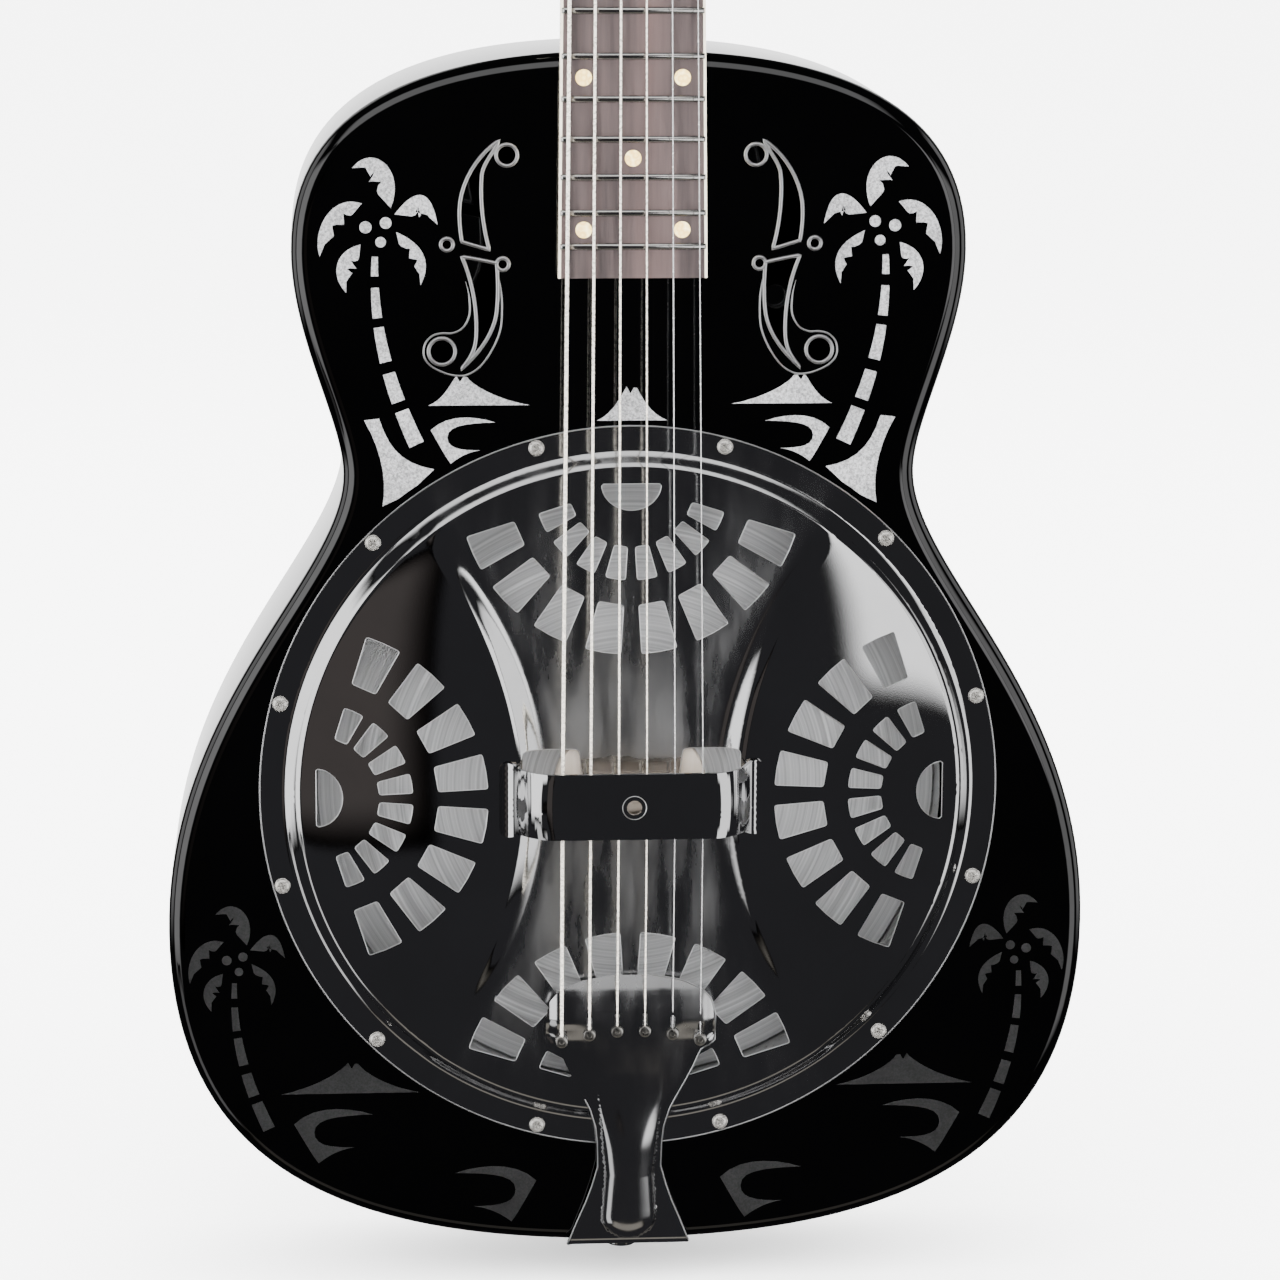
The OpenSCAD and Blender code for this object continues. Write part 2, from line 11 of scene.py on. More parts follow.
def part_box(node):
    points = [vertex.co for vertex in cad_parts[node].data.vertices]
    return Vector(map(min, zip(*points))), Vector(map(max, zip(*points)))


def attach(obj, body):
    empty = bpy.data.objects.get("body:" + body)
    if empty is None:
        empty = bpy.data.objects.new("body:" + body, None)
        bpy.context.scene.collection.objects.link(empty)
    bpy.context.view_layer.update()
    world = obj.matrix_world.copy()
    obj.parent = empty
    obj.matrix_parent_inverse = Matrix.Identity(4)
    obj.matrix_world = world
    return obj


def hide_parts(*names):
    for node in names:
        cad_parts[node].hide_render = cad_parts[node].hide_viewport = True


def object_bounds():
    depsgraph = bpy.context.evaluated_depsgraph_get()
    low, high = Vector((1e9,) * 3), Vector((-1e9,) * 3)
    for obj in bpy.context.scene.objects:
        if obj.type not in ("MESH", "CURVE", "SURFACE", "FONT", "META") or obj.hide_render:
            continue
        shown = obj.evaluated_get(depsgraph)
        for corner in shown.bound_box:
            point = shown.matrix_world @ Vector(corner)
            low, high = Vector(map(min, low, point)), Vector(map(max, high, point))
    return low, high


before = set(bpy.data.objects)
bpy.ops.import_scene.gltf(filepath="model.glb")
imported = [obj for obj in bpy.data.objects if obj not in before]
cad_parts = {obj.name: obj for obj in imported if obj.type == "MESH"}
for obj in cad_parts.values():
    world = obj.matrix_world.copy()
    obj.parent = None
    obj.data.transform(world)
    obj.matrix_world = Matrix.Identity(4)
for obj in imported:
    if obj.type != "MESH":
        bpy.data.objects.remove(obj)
CAD_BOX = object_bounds()
MM = 0.001


# ---------------------------------------------------------------- places from the frame
def box_mm(node):
    low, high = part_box(node)
    return np.array(low) / MM, np.array(high) / MM


TOP_LOW, TOP_HIGH = box_mm("body_top")
PLATE_LOW, PLATE_HIGH = box_mm("coverplate")
FRONT_Y = TOP_LOW[1]                       # the body's top
BACK_Y = box_mm("body_back")[1][1]         # the body's back
WALL = TOP_HIGH[1] - TOP_LOW[1]
BODY_LEN = TOP_HIGH[2]
PLATE_Z = (PLATE_LOW[2] + PLATE_HIGH[2]) / 2
PLATE_R = (PLATE_HIGH[0] - PLATE_LOW[0]) / 2
REST_LOW, REST_HIGH = box_mm("hand_rest")


# ---------------------------------------------------------------- camera
def make_camera():
    """The photograph's view: a long lens, a little left of the middle and above the plate."""
    turn, down, roll = math.radians(4.16), math.radians(11.66), math.radians(0.22)
    place = Vector((-0.115, -1.642 + FRONT_Y * MM, 0.399 + PLATE_Z * MM))
    ahead = Vector((math.sin(turn) * math.cos(down), math.cos(turn) * math.cos(down),
                    -math.sin(down)))
    side = Vector((math.cos(turn), -math.sin(turn), 0))
    up = side.cross(ahead)
    side, up = (side * math.cos(roll) + up * math.sin(roll),
                up * math.cos(roll) - side * math.sin(roll))
    data = bpy.data.cameras.new("camera")
    data.sensor_width = 36
    data.lens = 122.9625
    data.clip_end = 33.8
    data.shift_x = -0.0012
    camera = bpy.data.objects.new("camera", data)
    bpy.context.collection.objects.link(camera)
    camera.matrix_world = Matrix((
        (side.x, up.x, -ahead.x, place.x), (side.y, up.y, -ahead.y, place.y),
        (side.z, up.z, -ahead.z, place.z), (0, 0, 0, 1)))
    bpy.context.scene.camera = camera


make_camera()


# ---------------------------------------------------------------- materials
class Nodes:
    """Short names for building one material's node tree."""

    def __init__(self, name):
        self.material = bpy.data.materials.new(name)
        self.material.use_nodes = True
        self.tree = self.material.node_tree
        self.shader = self.tree.nodes["Principled BSDF"]
        self.coords = self.tree.nodes.new("ShaderNodeTexCoord").outputs["Object"]

    def add(self, kind, **settings):
        made = self.tree.nodes.new("ShaderNode" + kind)
        for key, value in settings.items():
            setattr(made, key, value)
        return made

    def link(self, source, target):
        self.tree.links.new(source, target)

    def set(self, **values):
        for key, value in values.items():
            self.shader.inputs[key.replace("_", " ")].default_value = value

    def feed(self, **sources):
        """Links outputs to the shader's sockets, named with _ for each space."""
        for key, source in sources.items():
            self.link(source, self.shader.inputs[key.replace("_", " ")])

    def math(self, operation, *values):
        """A Math node's result. Each value is a number or another node's output."""
        made = self.add("Math", operation=operation)
        for socket, value in zip(made.inputs, values):
            if isinstance(value, (int, float)):
                socket.default_value = value
            else:
                self.link(value, socket)
        return made.outputs["Value"]

    def noise(self, scale, detail=4.0, rough=0.5, stretch=None):
        made = self.add("TexNoise")
        made.inputs["Scale"].default_value = scale
        made.inputs["Detail"].default_value = detail
        made.inputs["Roughness"].default_value = rough
        self.link(self.stretched(stretch), made.inputs["Vector"])
        return made.outputs["Fac"]

    def stretched(self, stretch):
        if stretch is None:
            return self.coords
        mapping = self.add("Mapping")
        mapping.inputs["Scale"].default_value = stretch
        self.link(self.coords, mapping.inputs["Vector"])
        return mapping.outputs["Vector"]

    def ramp(self, source, stops):
        made = self.add("ValToRGB")
        ramp = made.color_ramp
        while len(ramp.elements) < len(stops):
            ramp.elements.new(0.5)
        for element, (place, value) in zip(ramp.elements, stops):
            element.position = place
            element.color = value if len(value) == 4 else (*value, 1)
        self.link(source, made.inputs["Fac"])
        return made.outputs["Color"]

    def span(self, source, low, high, from_low=0.3, from_high=0.7):
        made = self.add("MapRange")
        for name, value in (("From Min", from_low), ("From Max", from_high),
                            ("To Min", low), ("To Max", high)):
            made.inputs[name].default_value = value
        self.link(source, made.inputs["Value"])
        return made.outputs["Result"]

    def bump(self, source, depth_mm, strength=1.0):
        made = self.add("Bump")
        made.inputs["Distance"].default_value = depth_mm * MM
        made.inputs["Strength"].default_value = strength
        self.link(source, made.inputs["Height"])
        self.link(made.outputs["Normal"], self.shader.inputs["Normal"])


def grey(value):
    return (value, value, value * 1.01)


def smeared(name, dark, light):
    """The start of a mirror plating: faint smears left by the polish."""
    m = Nodes(name)
    m.set(Metallic=1.0)
    m.feed(Base_Color=m.ramp(m.noise(14, 6, 0.62), [(0.3, dark), (0.75, light)]))
    return m


def mirror_metal(name, dark, light, smear=0.05, clear=0.02):
    """Mirror plating with a very slight wave in the sheet."""
    m = smeared(name, dark, light)
    m.feed(Roughness=m.span(m.noise(60, 5, 0.6), clear, smear))
    m.bump(m.noise(7, 1.5, 0.4), 0.004)
    return m.material


def plate_metal(name, dark, light):
    """The coverplate's mirror plating, hazed with wear and rosin dust in the strings' valley."""
    m = smeared(name, dark, light)
    place = m.add("SeparateXYZ")
    m.link(m.coords, place.inputs["Vector"])
    across = m.math("ABSOLUTE", place.outputs["X"])
    up = m.math("SUBTRACT", place.outputs["Z"], PLATE_Z * MM)
    near = m.math("ABSOLUTE", up)
    bow = m.math("MULTIPLY_ADD", m.math("MULTIPLY", up, up), -3.6, across)
    haze = m.span(bow, 1, 0, 0.026, 0.038)
    for part in (m.span(near, 1, 0.25, 0.03, 0.125), m.span(near, 0, 1, 0.0125, 0.016),
                 m.span(m.noise(70, 5, 0.6, (1, 1, 0.22)), 0.25, 1.0, 0.36, 0.68)):
        haze = m.math("MULTIPLY", haze, part)
    m.feed(Roughness=m.span(haze, 0.03, 0.6, 0, 1))
    m.bump(m.noise(2400, 2, 0.7), 0.012, 0.25)
    return m.material


def frosted_metal(name, tone):
    """Sandblasted plating: fine, even grain that catches light from every side."""
    m = Nodes(name)
    m.set(Metallic=0.4, Roughness=0.55)
    grain = m.noise(1150, 2, 0.75)
    cloud = m.noise(22, 2, 0.5)
    mix = m.add("Mix", data_type="RGBA", blend_type="MULTIPLY")
    mix.inputs["Factor"].default_value = 1.0
    m.link(m.ramp(grain, [(0.36, grey(tone * 0.42)), (0.64, grey(tone * 1.15))]), mix.inputs["A"])
    m.link(m.ramp(cloud, [(0.35, grey(0.72)), (0.65, grey(1.0))]), mix.inputs["B"])
    m.feed(Base_Color=mix.outputs["Result"])
    m.bump(grain, 0.05, 0.9)
    return m.material


def spun_aluminium(name, dark, light):
    """Matt spun sheet: fine rings left by the spinning tool, seen as light and dark bands."""
    m = Nodes(name)
    m.set(Metallic=0.75)
    mapping = m.add("Mapping")
    mapping.inputs["Location"].default_value = (0, 0, -PLATE_Z * MM)
    mapping.inputs["Scale"].default_value = (1, 0, 1)
    m.link(m.coords, mapping.inputs["Vector"])
    radius = m.add("VectorMath", operation="LENGTH")
    m.link(mapping.outputs["Vector"], radius.inputs[0])
    rings = m.add("TexNoise", noise_dimensions="1D")
    rings.inputs["Scale"].default_value = 900
    rings.inputs["Detail"].default_value = 3
    m.link(radius.outputs["Value"], rings.inputs["W"])
    m.feed(Base_Color=m.ramp(rings.outputs["Fac"], [(0.3, grey(dark)), (0.7, grey(light))]))
    m.feed(Roughness=m.span(m.noise(90, 4), 0.38, 0.55))
    m.bump(rings.outputs["Fac"], 0.06, 0.6)
    return m.material


def wood(name, pale, dark, streak, rough=(0.35, 0.5), pores=0.05, coat=0.0):
    """Grain that runs up the neck: long streaks, with fine open pores."""
    m = Nodes(name)
    m.set(Coat_Weight=coat, Coat_Roughness=0.12)
    along = (1, 1, 0.06)
    grain = m.noise(210, 7, 0.62, along)
    broad = m.noise(48, 3, 0.5, along)
    base = m.ramp(grain, [(0.32, dark), (0.5, tuple(np.mean([dark, pale], axis=0))), (0.68, pale)])
    mix = m.add("Mix", data_type="RGBA", blend_type="MIX")
    m.link(m.span(broad, 0, 0.75, 0.52, 0.68), mix.inputs["Factor"])
    m.link(base, mix.inputs["A"])
    mix.inputs["B"].default_value = (*streak, 1)
    m.feed(Base_Color=mix.outputs["Result"])
    m.feed(Roughness=m.span(grain, *rough))
    m.bump(m.noise(900, 3, 0.6, (1, 1, 0.05)), pores, 0.8)
    return m.material


def brushed(name, tone, rough=0.3, warm=1.0, scale=(1, 1, 1), metallic=1.0):
    """Turned or drawn metal, with fine tool lines and small changes of colour."""
    m = Nodes(name)
    m.set(Metallic=metallic)
    lines = m.noise(700, 4, 0.6, scale)
    low = (tone * 0.72, tone * 0.72 * warm, tone * 0.72 * warm ** 3)
    high = (tone, tone * warm, tone * warm ** 3)
    m.feed(Base_Color=m.ramp(lines, [(0.3, low), (0.7, high)]))
    m.feed(Roughness=m.span(lines, rough * 0.7, rough * 1.2))
    m.bump(lines, 0.02, 0.5)
    return m.material


def moulded(name, pale, dark, rough=0.25, scale=90):
    """Plastic, bone or pearl: clouded colour under a gloss."""
    m = Nodes(name)
    clouds = m.noise(scale, 5, 0.6)
    m.feed(Base_Color=m.ramp(clouds, [(0.34, dark), (0.66, pale)]))
    m.feed(Roughness=m.span(m.noise(400, 3), rough * 0.8, rough * 1.25))
    m.set(Coat_Weight=0.4, Coat_Roughness=0.08)
    m.bump(m.noise(300, 3), 0.01, 0.4)
    return m.material


def pearl(name):
    """Pearl-like plastic in small, glossy flakes."""
    m = Nodes(name)
    cells = m.add("TexVoronoi")
    cells.inputs["Scale"].default_value = 420
    m.link(m.coords, cells.inputs["Vector"])
    stops = [(0.1, (0.9, 0.7, 0.28)), (0.5, (0.72, 0.48, 0.14)), (0.9, (0.92, 0.78, 0.4))]
    m.feed(Base_Color=m.ramp(cells.outputs["Distance"], stops))
    m.set(Roughness=0.18, Coat_Weight=0.8, Coat_Roughness=0.05)
    m.bump(cells.outputs["Distance"], 0.01, 0.4)
    return m.material


MATERIALS = {
    "body": mirror_metal("body_plating", grey(0.055), grey(0.08)),
    "plate": plate_metal("coverplate_plating", grey(0.54), grey(0.64)),
    "bright": mirror_metal("bright_plating", grey(0.5), grey(0.62), 0.07),
    "screw": brushed("screw_nickel", 0.62, 0.26, 0.97, metallic=0.88),
    "lip": mirror_metal("rolled_lip", grey(0.86), grey(0.94), 0.42, clear=0.3),
    "frost": frosted_metal("frosted_scene", 0.36),
    # The lower scenes: the same frosting with a far darker tone, painted shade for the weaker light
    # that falls on them
    "frost_painted_shade": frosted_metal("frosted_scene_painted_shade", 0.014),
    "cone": spun_aluminium("spun_cone", 0.55, 0.82),
    # The biscuit's and saddle's maple, much darker than the other maple: painted shade for where
    # they sit under the coverplate and hand rest
    "biscuit": wood("maple_painted_shade", (0.3, 0.26, 0.22), (0.2, 0.17, 0.14), (0.24, 0.2, 0.16),
                    pores=0.02),
    "well": brushed("well_steel", 0.55, 0.35),
    "maple": wood("maple", (0.78, 0.62, 0.42), (0.62, 0.45, 0.27), (0.7, 0.52, 0.33), pores=0.02),
    "neck": wood("neck_mahogany", (0.06, 0.024, 0.013), (0.03, 0.012, 0.007), (0.042, 0.016, 0.009),
                 (0.3, 0.42), 0.02, coat=0.25),
    "rosewood": wood("rosewood", (0.061, 0.039, 0.037), (0.02, 0.0145, 0.0145),
                     (0.078, 0.045, 0.041), (0.38, 0.55), 0.09),
    "overlay": wood("overlay_wood", (0.016, 0.011, 0.01), (0.007, 0.005, 0.0045),
                    (0.011, 0.007, 0.006), (0.25, 0.36), 0.02, coat=0.3),
    "binding": moulded("binding", (0.62, 0.57, 0.47), (0.5, 0.45, 0.35)),
    "fret": brushed("fret_wire", 0.75, 0.2, 0.985, (0.05, 1, 1)),
    "pearl": pearl("pearl_dot"),
    "bone": moulded("bone", (0.88, 0.84, 0.74), (0.78, 0.72, 0.6)),
    "black": moulded("black_plastic", (0.02, 0.02, 0.02), (0.01, 0.01, 0.012), 0.15),
    "button": moulded("button_plastic", (0.86, 0.82, 0.72), (0.76, 0.7, 0.56), 0.3, 60),
    "brass": brushed("brass_parts", 0.82, 0.3, 0.86),
    "wound": brushed("wound_string", 0.86, 0.3, 0.94, metallic=0.5),
    "plain": brushed("plain_string", 0.7, 0.25, metallic=0.7),
    "ball": brushed("ball_end", 0.6, 0.35, 0.97),
}


# ---------------------------------------------------------------- mesh helpers
def add_mesh(name, vertices, faces, material, body="root", angle=35):
    data = bpy.data.meshes.new(name)
    data.from_pydata([tuple(v) for v in np.asarray(vertices, float) * MM], [],
                     [tuple(int(i) for i in f) for f in faces])
    data.validate()
    piece = bpy.data.objects.new(name, data)
    bpy.context.collection.objects.link(piece)
    data.materials.append(MATERIALS[material])
    data.shade_smooth()
    data.set_sharp_from_angle(angle=math.radians(angle))
    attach(piece, body)
    return piece


def outward(piece, angle, weld=False):
    """Turns the piece's faces outwards and marks its sharp edges again."""
    work = bmesh.new()
    work.from_mesh(piece.data)
    if weld:
        bmesh.ops.remove_doubles(work, verts=work.verts, dist=1e-6)
    bmesh.ops.recalc_face_normals(work, faces=work.faces)
    work.to_mesh(piece.data)
    work.free()
    piece.data.shade_smooth()
    piece.data.set_sharp_from_angle(angle=math.radians(angle))
    return piece


def stands_for(node):
    """The piece takes a CAD node's place: the node is hidden."""
    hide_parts(node)


def ring_faces(count, n, closed=False):
    """Quads between rings of n points each; closed also joins the last ring to the first."""
    return [(i * n + k, i * n + (k + 1) % n, (i + 1) % count * n + (k + 1) % n,
             (i + 1) % count * n + k)
            for i in range(count if closed else count - 1) for k in range(n)]


def end_faces(count, n):
    """The first and the last ring, filled."""
    return [tuple(range(n))[::-1], tuple(range((count - 1) * n, count * n))]


def at_depth(points, y):
    """Flat (x, z) points, placed in the plane of that y."""
    return np.insert(points, 1, y, axis=1)


def inside(points, loop):
    """True for each point inside the closed loop."""
    result = np.zeros(len(points), bool)
    x, y = points[:, 0], points[:, 1]
    for (x0, y0), (x1, y1) in zip(loop, np.roll(loop, -1, axis=0)):
        crosses = (y0 > y) != (y1 > y)
        with np.errstate(divide="ignore", invalid="ignore"):
            result ^= crosses & (x < (x1 - x0) * (y - y0) / (y1 - y0) + x0)
    return result


def refined(loop, spacing):
    """The loop with extra points, so that none of its sides is longer than spacing."""
    points = []
    for a, b in zip(loop, np.roll(loop, -1, axis=0)):
        count = max(1, int(math.ceil(np.linalg.norm(b - a) / spacing)))
        points += [a + (b - a) * i / count for i in range(count)]
    return np.array(points)


def flat_triangles(outline, holes, spacing, guides=()):
    """Points and triangles that fill an outline, less its holes, with about that spacing. The
    guides are open lines that the triangles' sides follow, where the surface bends."""
    loops = [refined(np.asarray(loop, float), spacing) for loop in [outline] + holes]
    low, high = loops[0].min(axis=0), loops[0].max(axis=0)
    rows = np.arange(low[1], high[1], spacing * 0.866)
    grid = np.array([(x + (0.5 * spacing if k % 2 else 0), y) for k, y in enumerate(rows)
                     for x in np.arange(low[0], high[0], spacing)])
    keep = inside(grid, loops[0])
    for hole in loops[1:]:
        keep &= ~inside(grid, hole)
    grid = grid[keep]
    border = np.vstack(loops + list(guides))
    tree = kdtree.KDTree(len(border))
    for i, p in enumerate(border):
        tree.insert((p[0], p[1], 0), i)
    tree.balance()
    grid = [p for p in grid if tree.find((p[0], p[1], 0))[2] > spacing * 0.4]
    grid = np.array(grid).reshape(-1, 2)
    points = [Vector(p) for p in np.vstack([border, grid])]
    edges, start = [], 0
    for loop in loops:
        n = len(loop)
        edges += [(start + i, start + (i + 1) % n) for i in range(n)]
        start += n
    for guide in guides:
        edges += [(start + i, start + i + 1) for i in range(len(guide) - 1)]
        start += len(guide)
    out = geometry.delaunay_2d_cdt(points, edges, [], 0, 1e-6)
    vertices = np.array([(v.x, v.y) for v in out[0]])
    triangles = np.array([f for f in out[2] if len(f) == 3])
    centres = vertices[triangles].mean(axis=1)
    keep = inside(centres, loops[0])
    for hole in loops[1:]:
        keep &= ~inside(centres, hole)
    return vertices, triangles[keep]


def sheet_piece(name, outline, holes, spacing, surface, thickness, material, guides=()):
    """Pressed sheet metal: a filled outline laid on surface(u, v), with a back and cut edges.
    The front's shading comes from the surface itself, so its reflections are smooth."""
    flat, triangles = flat_triangles(outline, holes, spacing, guides)
    u, v = flat[:, 0], flat[:, 1]
    step = 0.05
    front = surface(u, v)
    across = surface(u + step, v) - surface(u - step, v)
    along = surface(u, v + step) - surface(u, v - step)
    normal = np.cross(across, along)
    normal /= np.linalg.norm(normal, axis=1)[:, None]
    a, b, c = (front[triangles[:, k]] for k in range(3))
    facing = np.einsum("ij,ij->i", np.cross(b - a, c - a), normal[triangles[:, 0]])
    triangles[facing < 0] = triangles[facing < 0][:, ::-1]
    back = front - normal * thickness
    n = len(flat)
    sides = dict.fromkeys((t[i], t[(i + 1) % 3]) for t in triangles.tolist() for i in range(3))
    rim = [(i, j) for i, j in sides if (j, i) not in sides]
    faces = [tuple(t) for t in triangles] + [tuple(t[::-1] + n) for t in triangles]
    faces += [(j, i, i + n, j + n) for i, j in rim]
    piece = add_mesh(name, np.vstack([front, back]), faces, material)
    data = piece.data
    corner_normals = []
    for polygon in data.polygons:
        if polygon.index < len(triangles):
            corner_normals += [normal[i] for i in polygon.vertices]
        elif polygon.index < 2 * len(triangles):
            corner_normals += [-normal[i - n] for i in polygon.vertices]
        else:
            corner_normals += [tuple(polygon.normal)] * len(polygon.vertices)
    data.normals_split_custom_set([tuple(v) for v in corner_normals])
    return piece


def tube_piece(name, points, radius, material, closed=False, sides=12, body="root"):
    """A round tube along points, with a radius for the whole or for each point."""
    points = np.asarray(points, float)
    n = len(points)
    radii = np.full(n, radius) if np.isscalar(radius) else np.asarray(radius, float)
    if closed:
        ahead = np.roll(points, -1, axis=0) - np.roll(points, 1, axis=0)
    else:
        ahead = np.gradient(points, axis=0)
    ahead /= np.linalg.norm(ahead, axis=1)[:, None]
    up = np.array([0.0, 1.0, 0.0]) if abs(ahead[0][1]) < 0.9 else np.array([1.0, 0, 0])
    rings = []
    for p, d, r in zip(points, ahead, radii):
        up = up - d * np.dot(up, d)
        up /= np.linalg.norm(up)
        side = np.cross(d, up)
        rings += [p + r * (math.cos(a) * up + math.sin(a) * side)
                  for a in np.arange(sides) * 2 * math.pi / sides]
    faces = ring_faces(n, sides, closed) + ([] if closed else end_faces(n, sides))
    return add_mesh(name, rings, faces, material, body, angle=50)


def lathe(name, profile, centre, axis, material, steps=96, body="root", angle=35):
    """Turns a profile of (radius, height) about an axis through centre."""
    axis = np.asarray(axis, float) / np.linalg.norm(axis)
    helper = np.array([1.0, 0, 0]) if abs(axis[0]) < 0.9 else np.array([0, 0, 1.0])
    e1 = np.cross(axis, helper)
    e1 /= np.linalg.norm(e1)
    e2 = np.cross(axis, e1)
    vertices, faces, m = [], [], len(profile)
    for k in range(steps):
        a = 2 * math.pi * k / steps
        out = math.cos(a) * e1 + math.sin(a) * e2
        vertices += [np.asarray(centre) + out * r + axis * h for r, h in profile]
    for k in range(steps):
        k2 = (k + 1) % steps
        for i in range(m - 1):
            faces.append((k * m + i, k2 * m + i, k2 * m + i + 1, k * m + i + 1))
    return outward(add_mesh(name, vertices, faces, material, body, angle), angle, weld=True)


def smooth_step(x, low, high):
    t = np.clip((x - low) / (high - low), 0, 1)
    return t * t * (3 - 2 * t)


# ---------------------------------------------------------------- body outline
def bezier(curve, t):
    p = [np.asarray(q, float) for q in curve]
    t = np.asarray(t, float)[:, None]
    return (p[0] * (1 - t) ** 3 + 3 * p[1] * t * (1 - t) ** 2
            + 3 * p[2] * t * t * (1 - t) + p[3] * t ** 3)


def bezier_ahead(curve, t):
    p = [np.asarray(q, float) for q in curve]
    t = np.asarray(t, float)[:, None]
    made = ((p[1] - p[0]) * (1 - t) ** 2 + 2 * (p[2] - p[1]) * t * (1 - t)
            + (p[3] - p[2]) * t * t)
    return made / np.linalg.norm(made, axis=1)[:, None]


def chain(curves, steps):
    """Points along joined curves, without the last one's end."""
    t = np.arange(steps) / steps
    return np.vstack([bezier(c, t) for c in curves])


LOWER_HALF = (TOP_HIGH[0] - TOP_LOW[0]) / 2
WAIST_HALF, UPPER_HALF = 0.612 * LOWER_HALF, 0.718 * LOWER_HALF
LOWER_Z, WAIST_Z, UPPER_Z = 128, 308, 393
HALF_OUTLINE = [
    [(0, 0), (102.5, 0), (LOWER_HALF, LOWER_Z - 101.8), (LOWER_HALF, LOWER_Z)],
    [(LOWER_HALF, LOWER_Z), (LOWER_HALF, LOWER_Z + 91.6), (WAIST_HALF, WAIST_Z - 39.6),
     (WAIST_HALF, WAIST_Z)],
    [(WAIST_HALF, WAIST_Z), (WAIST_HALF, WAIST_Z + 20), (UPPER_HALF, UPPER_Z - 33.2),
     (UPPER_HALF, UPPER_Z)],
    [(UPPER_HALF, UPPER_Z), (UPPER_HALF, UPPER_Z + 73.2), (38.7, BODY_LEN), (0, BODY_LEN)]]


def body_outline(inset, steps=40):
    """The body's outline, run round anticlockwise from the tail, moved inwards."""
    t = np.arange(steps) / steps
    half = []
    for curve in HALF_OUTLINE:
        ahead = bezier_ahead(curve, t)
        half.append(bezier(curve, t) + inset * np.stack([-ahead[:, 1], ahead[:, 0]], axis=1))
    half = np.vstack(half + [np.array([[0, BODY_LEN - inset]])])
    other = half[1:-1][::-1] * (-1, 1)
    return np.vstack([half, other])


EDGE_R = 6.5                               # rounding of the body's edges
WELL_R = (box_mm("soundwell")[1][0] - box_mm("soundwell")[0][0]) / 2 - WALL


def flat_at(y):
    """A surface in the plane of that y, facing the front."""
    return lambda u, v: np.stack([u, np.full(len(u), y), v], axis=1)


# The f-holes' round eyes, as (x, z, radius), and their two blades as joined curves
F_ROUND = [(47, 429.5, 4), (69.6, 396, 2.3), (48.6, 388.5, 2.3), (71.7, 355.5, 5)]
UPPER_BLADE = [
    [(49.8, 435), (58, 430), (64.6, 419), (64.8, 409)],
    [(64.8, 409), (64.9, 405), (64.6, 401), (63.9, 397)],
    [(63.9, 397), (60.5, 396), (57, 395), (53.6, 393.9)],
    [(53.6, 393.9), (56, 402), (57.2, 413), (56.4, 422)],
    [(56.4, 422), (56, 426), (53, 429), (49.8, 435)]]
LOWER_BLADE = [
    [(64, 391.4), (60, 390.8), (55, 389.8), (50.9, 388.8)],
    [(50.9, 388.8), (50.4, 383), (50.3, 377), (50.9, 371)],
    [(50.9, 371), (51.5, 364), (56, 356), (64.6, 348.6)],
    [(64.6, 348.6), (60, 353.5), (59, 357), (58.7, 361)],
    [(58.7, 361), (58.2, 370), (59.5, 381), (64, 391.4)]]
F_BORDER = [                               # the pressed line round each lower blade and its eye
    (62.6, 382), (61.3, 376.5), (61.2, 369.5), (63.6, 364.6), (67.4, 362.5), (71.7, 362.4),
    (75.1, 361.5), (77.7, 359), (78.6, 355.5), (77.9, 352.4), (75.6, 349.8), (72.4, 348),
    (68, 346.5), (62.6, 346.4), (57.3, 349.6), (52.6, 356.2), (49.6, 363.5), (48.9, 371),
    (49.2, 378), (50, 383.5)]


def smooth_line(points, steps=8):
    """A smooth curve through points, by Catmull and Rom's rule."""
    p = np.asarray([points[0]] + list(points) + [points[-1]], float)
    made = []
    for a, b, c, d in zip(p, p[1:], p[2:], p[3:]):
        for t in np.arange(steps) / steps:
            made.append(0.5 * (2 * b + (c - a) * t + (2 * a - 5 * b + 4 * c - d) * t ** 2
                               + (3 * b - a - 3 * c + d) * t ** 3))
    return np.array(made + [p[-1]])


def ring(x, z, r, steps=40):
    a = np.arange(steps) * 2 * math.pi / steps
    return np.stack([x + r * np.cos(a), z + r * np.sin(a)], axis=1)


def f_hole_loops():
    loops = []
    for side in (-1, 1):
        loops += [ring(side * x, z, r) for x, z, r in F_ROUND]
        loops += [chain(blade, 10) * (side, 1) for blade in (UPPER_BLADE, LOWER_BLADE)]
    return loops


def build_body():
    """One band for the sides and both rounded edges, then the top with its holes and the back."""
    fillet = [0, 0.6, 2, 5, 10, 17, 26, 36, 47, 58, 69, 80, 90]
    rim = [(EDGE_R * (1 - math.sin(math.radians(a))), EDGE_R * (1 - math.cos(math.radians(a))))
           for a in fillet]
    inner = [(inset + WALL if inset < EDGE_R - WALL else EDGE_R, max(depth, WALL))
             for inset, depth in rim[2:]]
    inner = [(EDGE_R, WALL)] + [(max(WALL, i), d) for i, d in inner]
    outer = [(i, FRONT_Y + d) for i, d in rim] + [(i, BACK_Y - d) for i, d in rim[::-1]]
    lining = [(i, BACK_Y - d) for i, d in inner] + [(i, FRONT_Y + d) for i, d in inner[::-1]]
    loops = [at_depth(body_outline(inset), y) for inset, y in outer + lining]
    faces = ring_faces(len(loops), len(loops[0]), closed=True)
    band = add_mesh("body_band", np.vstack(loops), [f[::-1] for f in faces], "body", angle=25)
    stands_for("body_sides")
    holes = [ring(0, PLATE_Z, WELL_R, 120)] + f_hole_loops()
    top = sheet_piece("body_top_sheet", body_outline(EDGE_R), holes, 9, flat_at(FRONT_Y), WALL,
                      "body")
    stands_for("body_top")
    back = sheet_piece("body_back_sheet", body_outline(EDGE_R), [], 14, flat_at(BACK_Y), -WALL,
                       "body")
    stands_for("body_back")


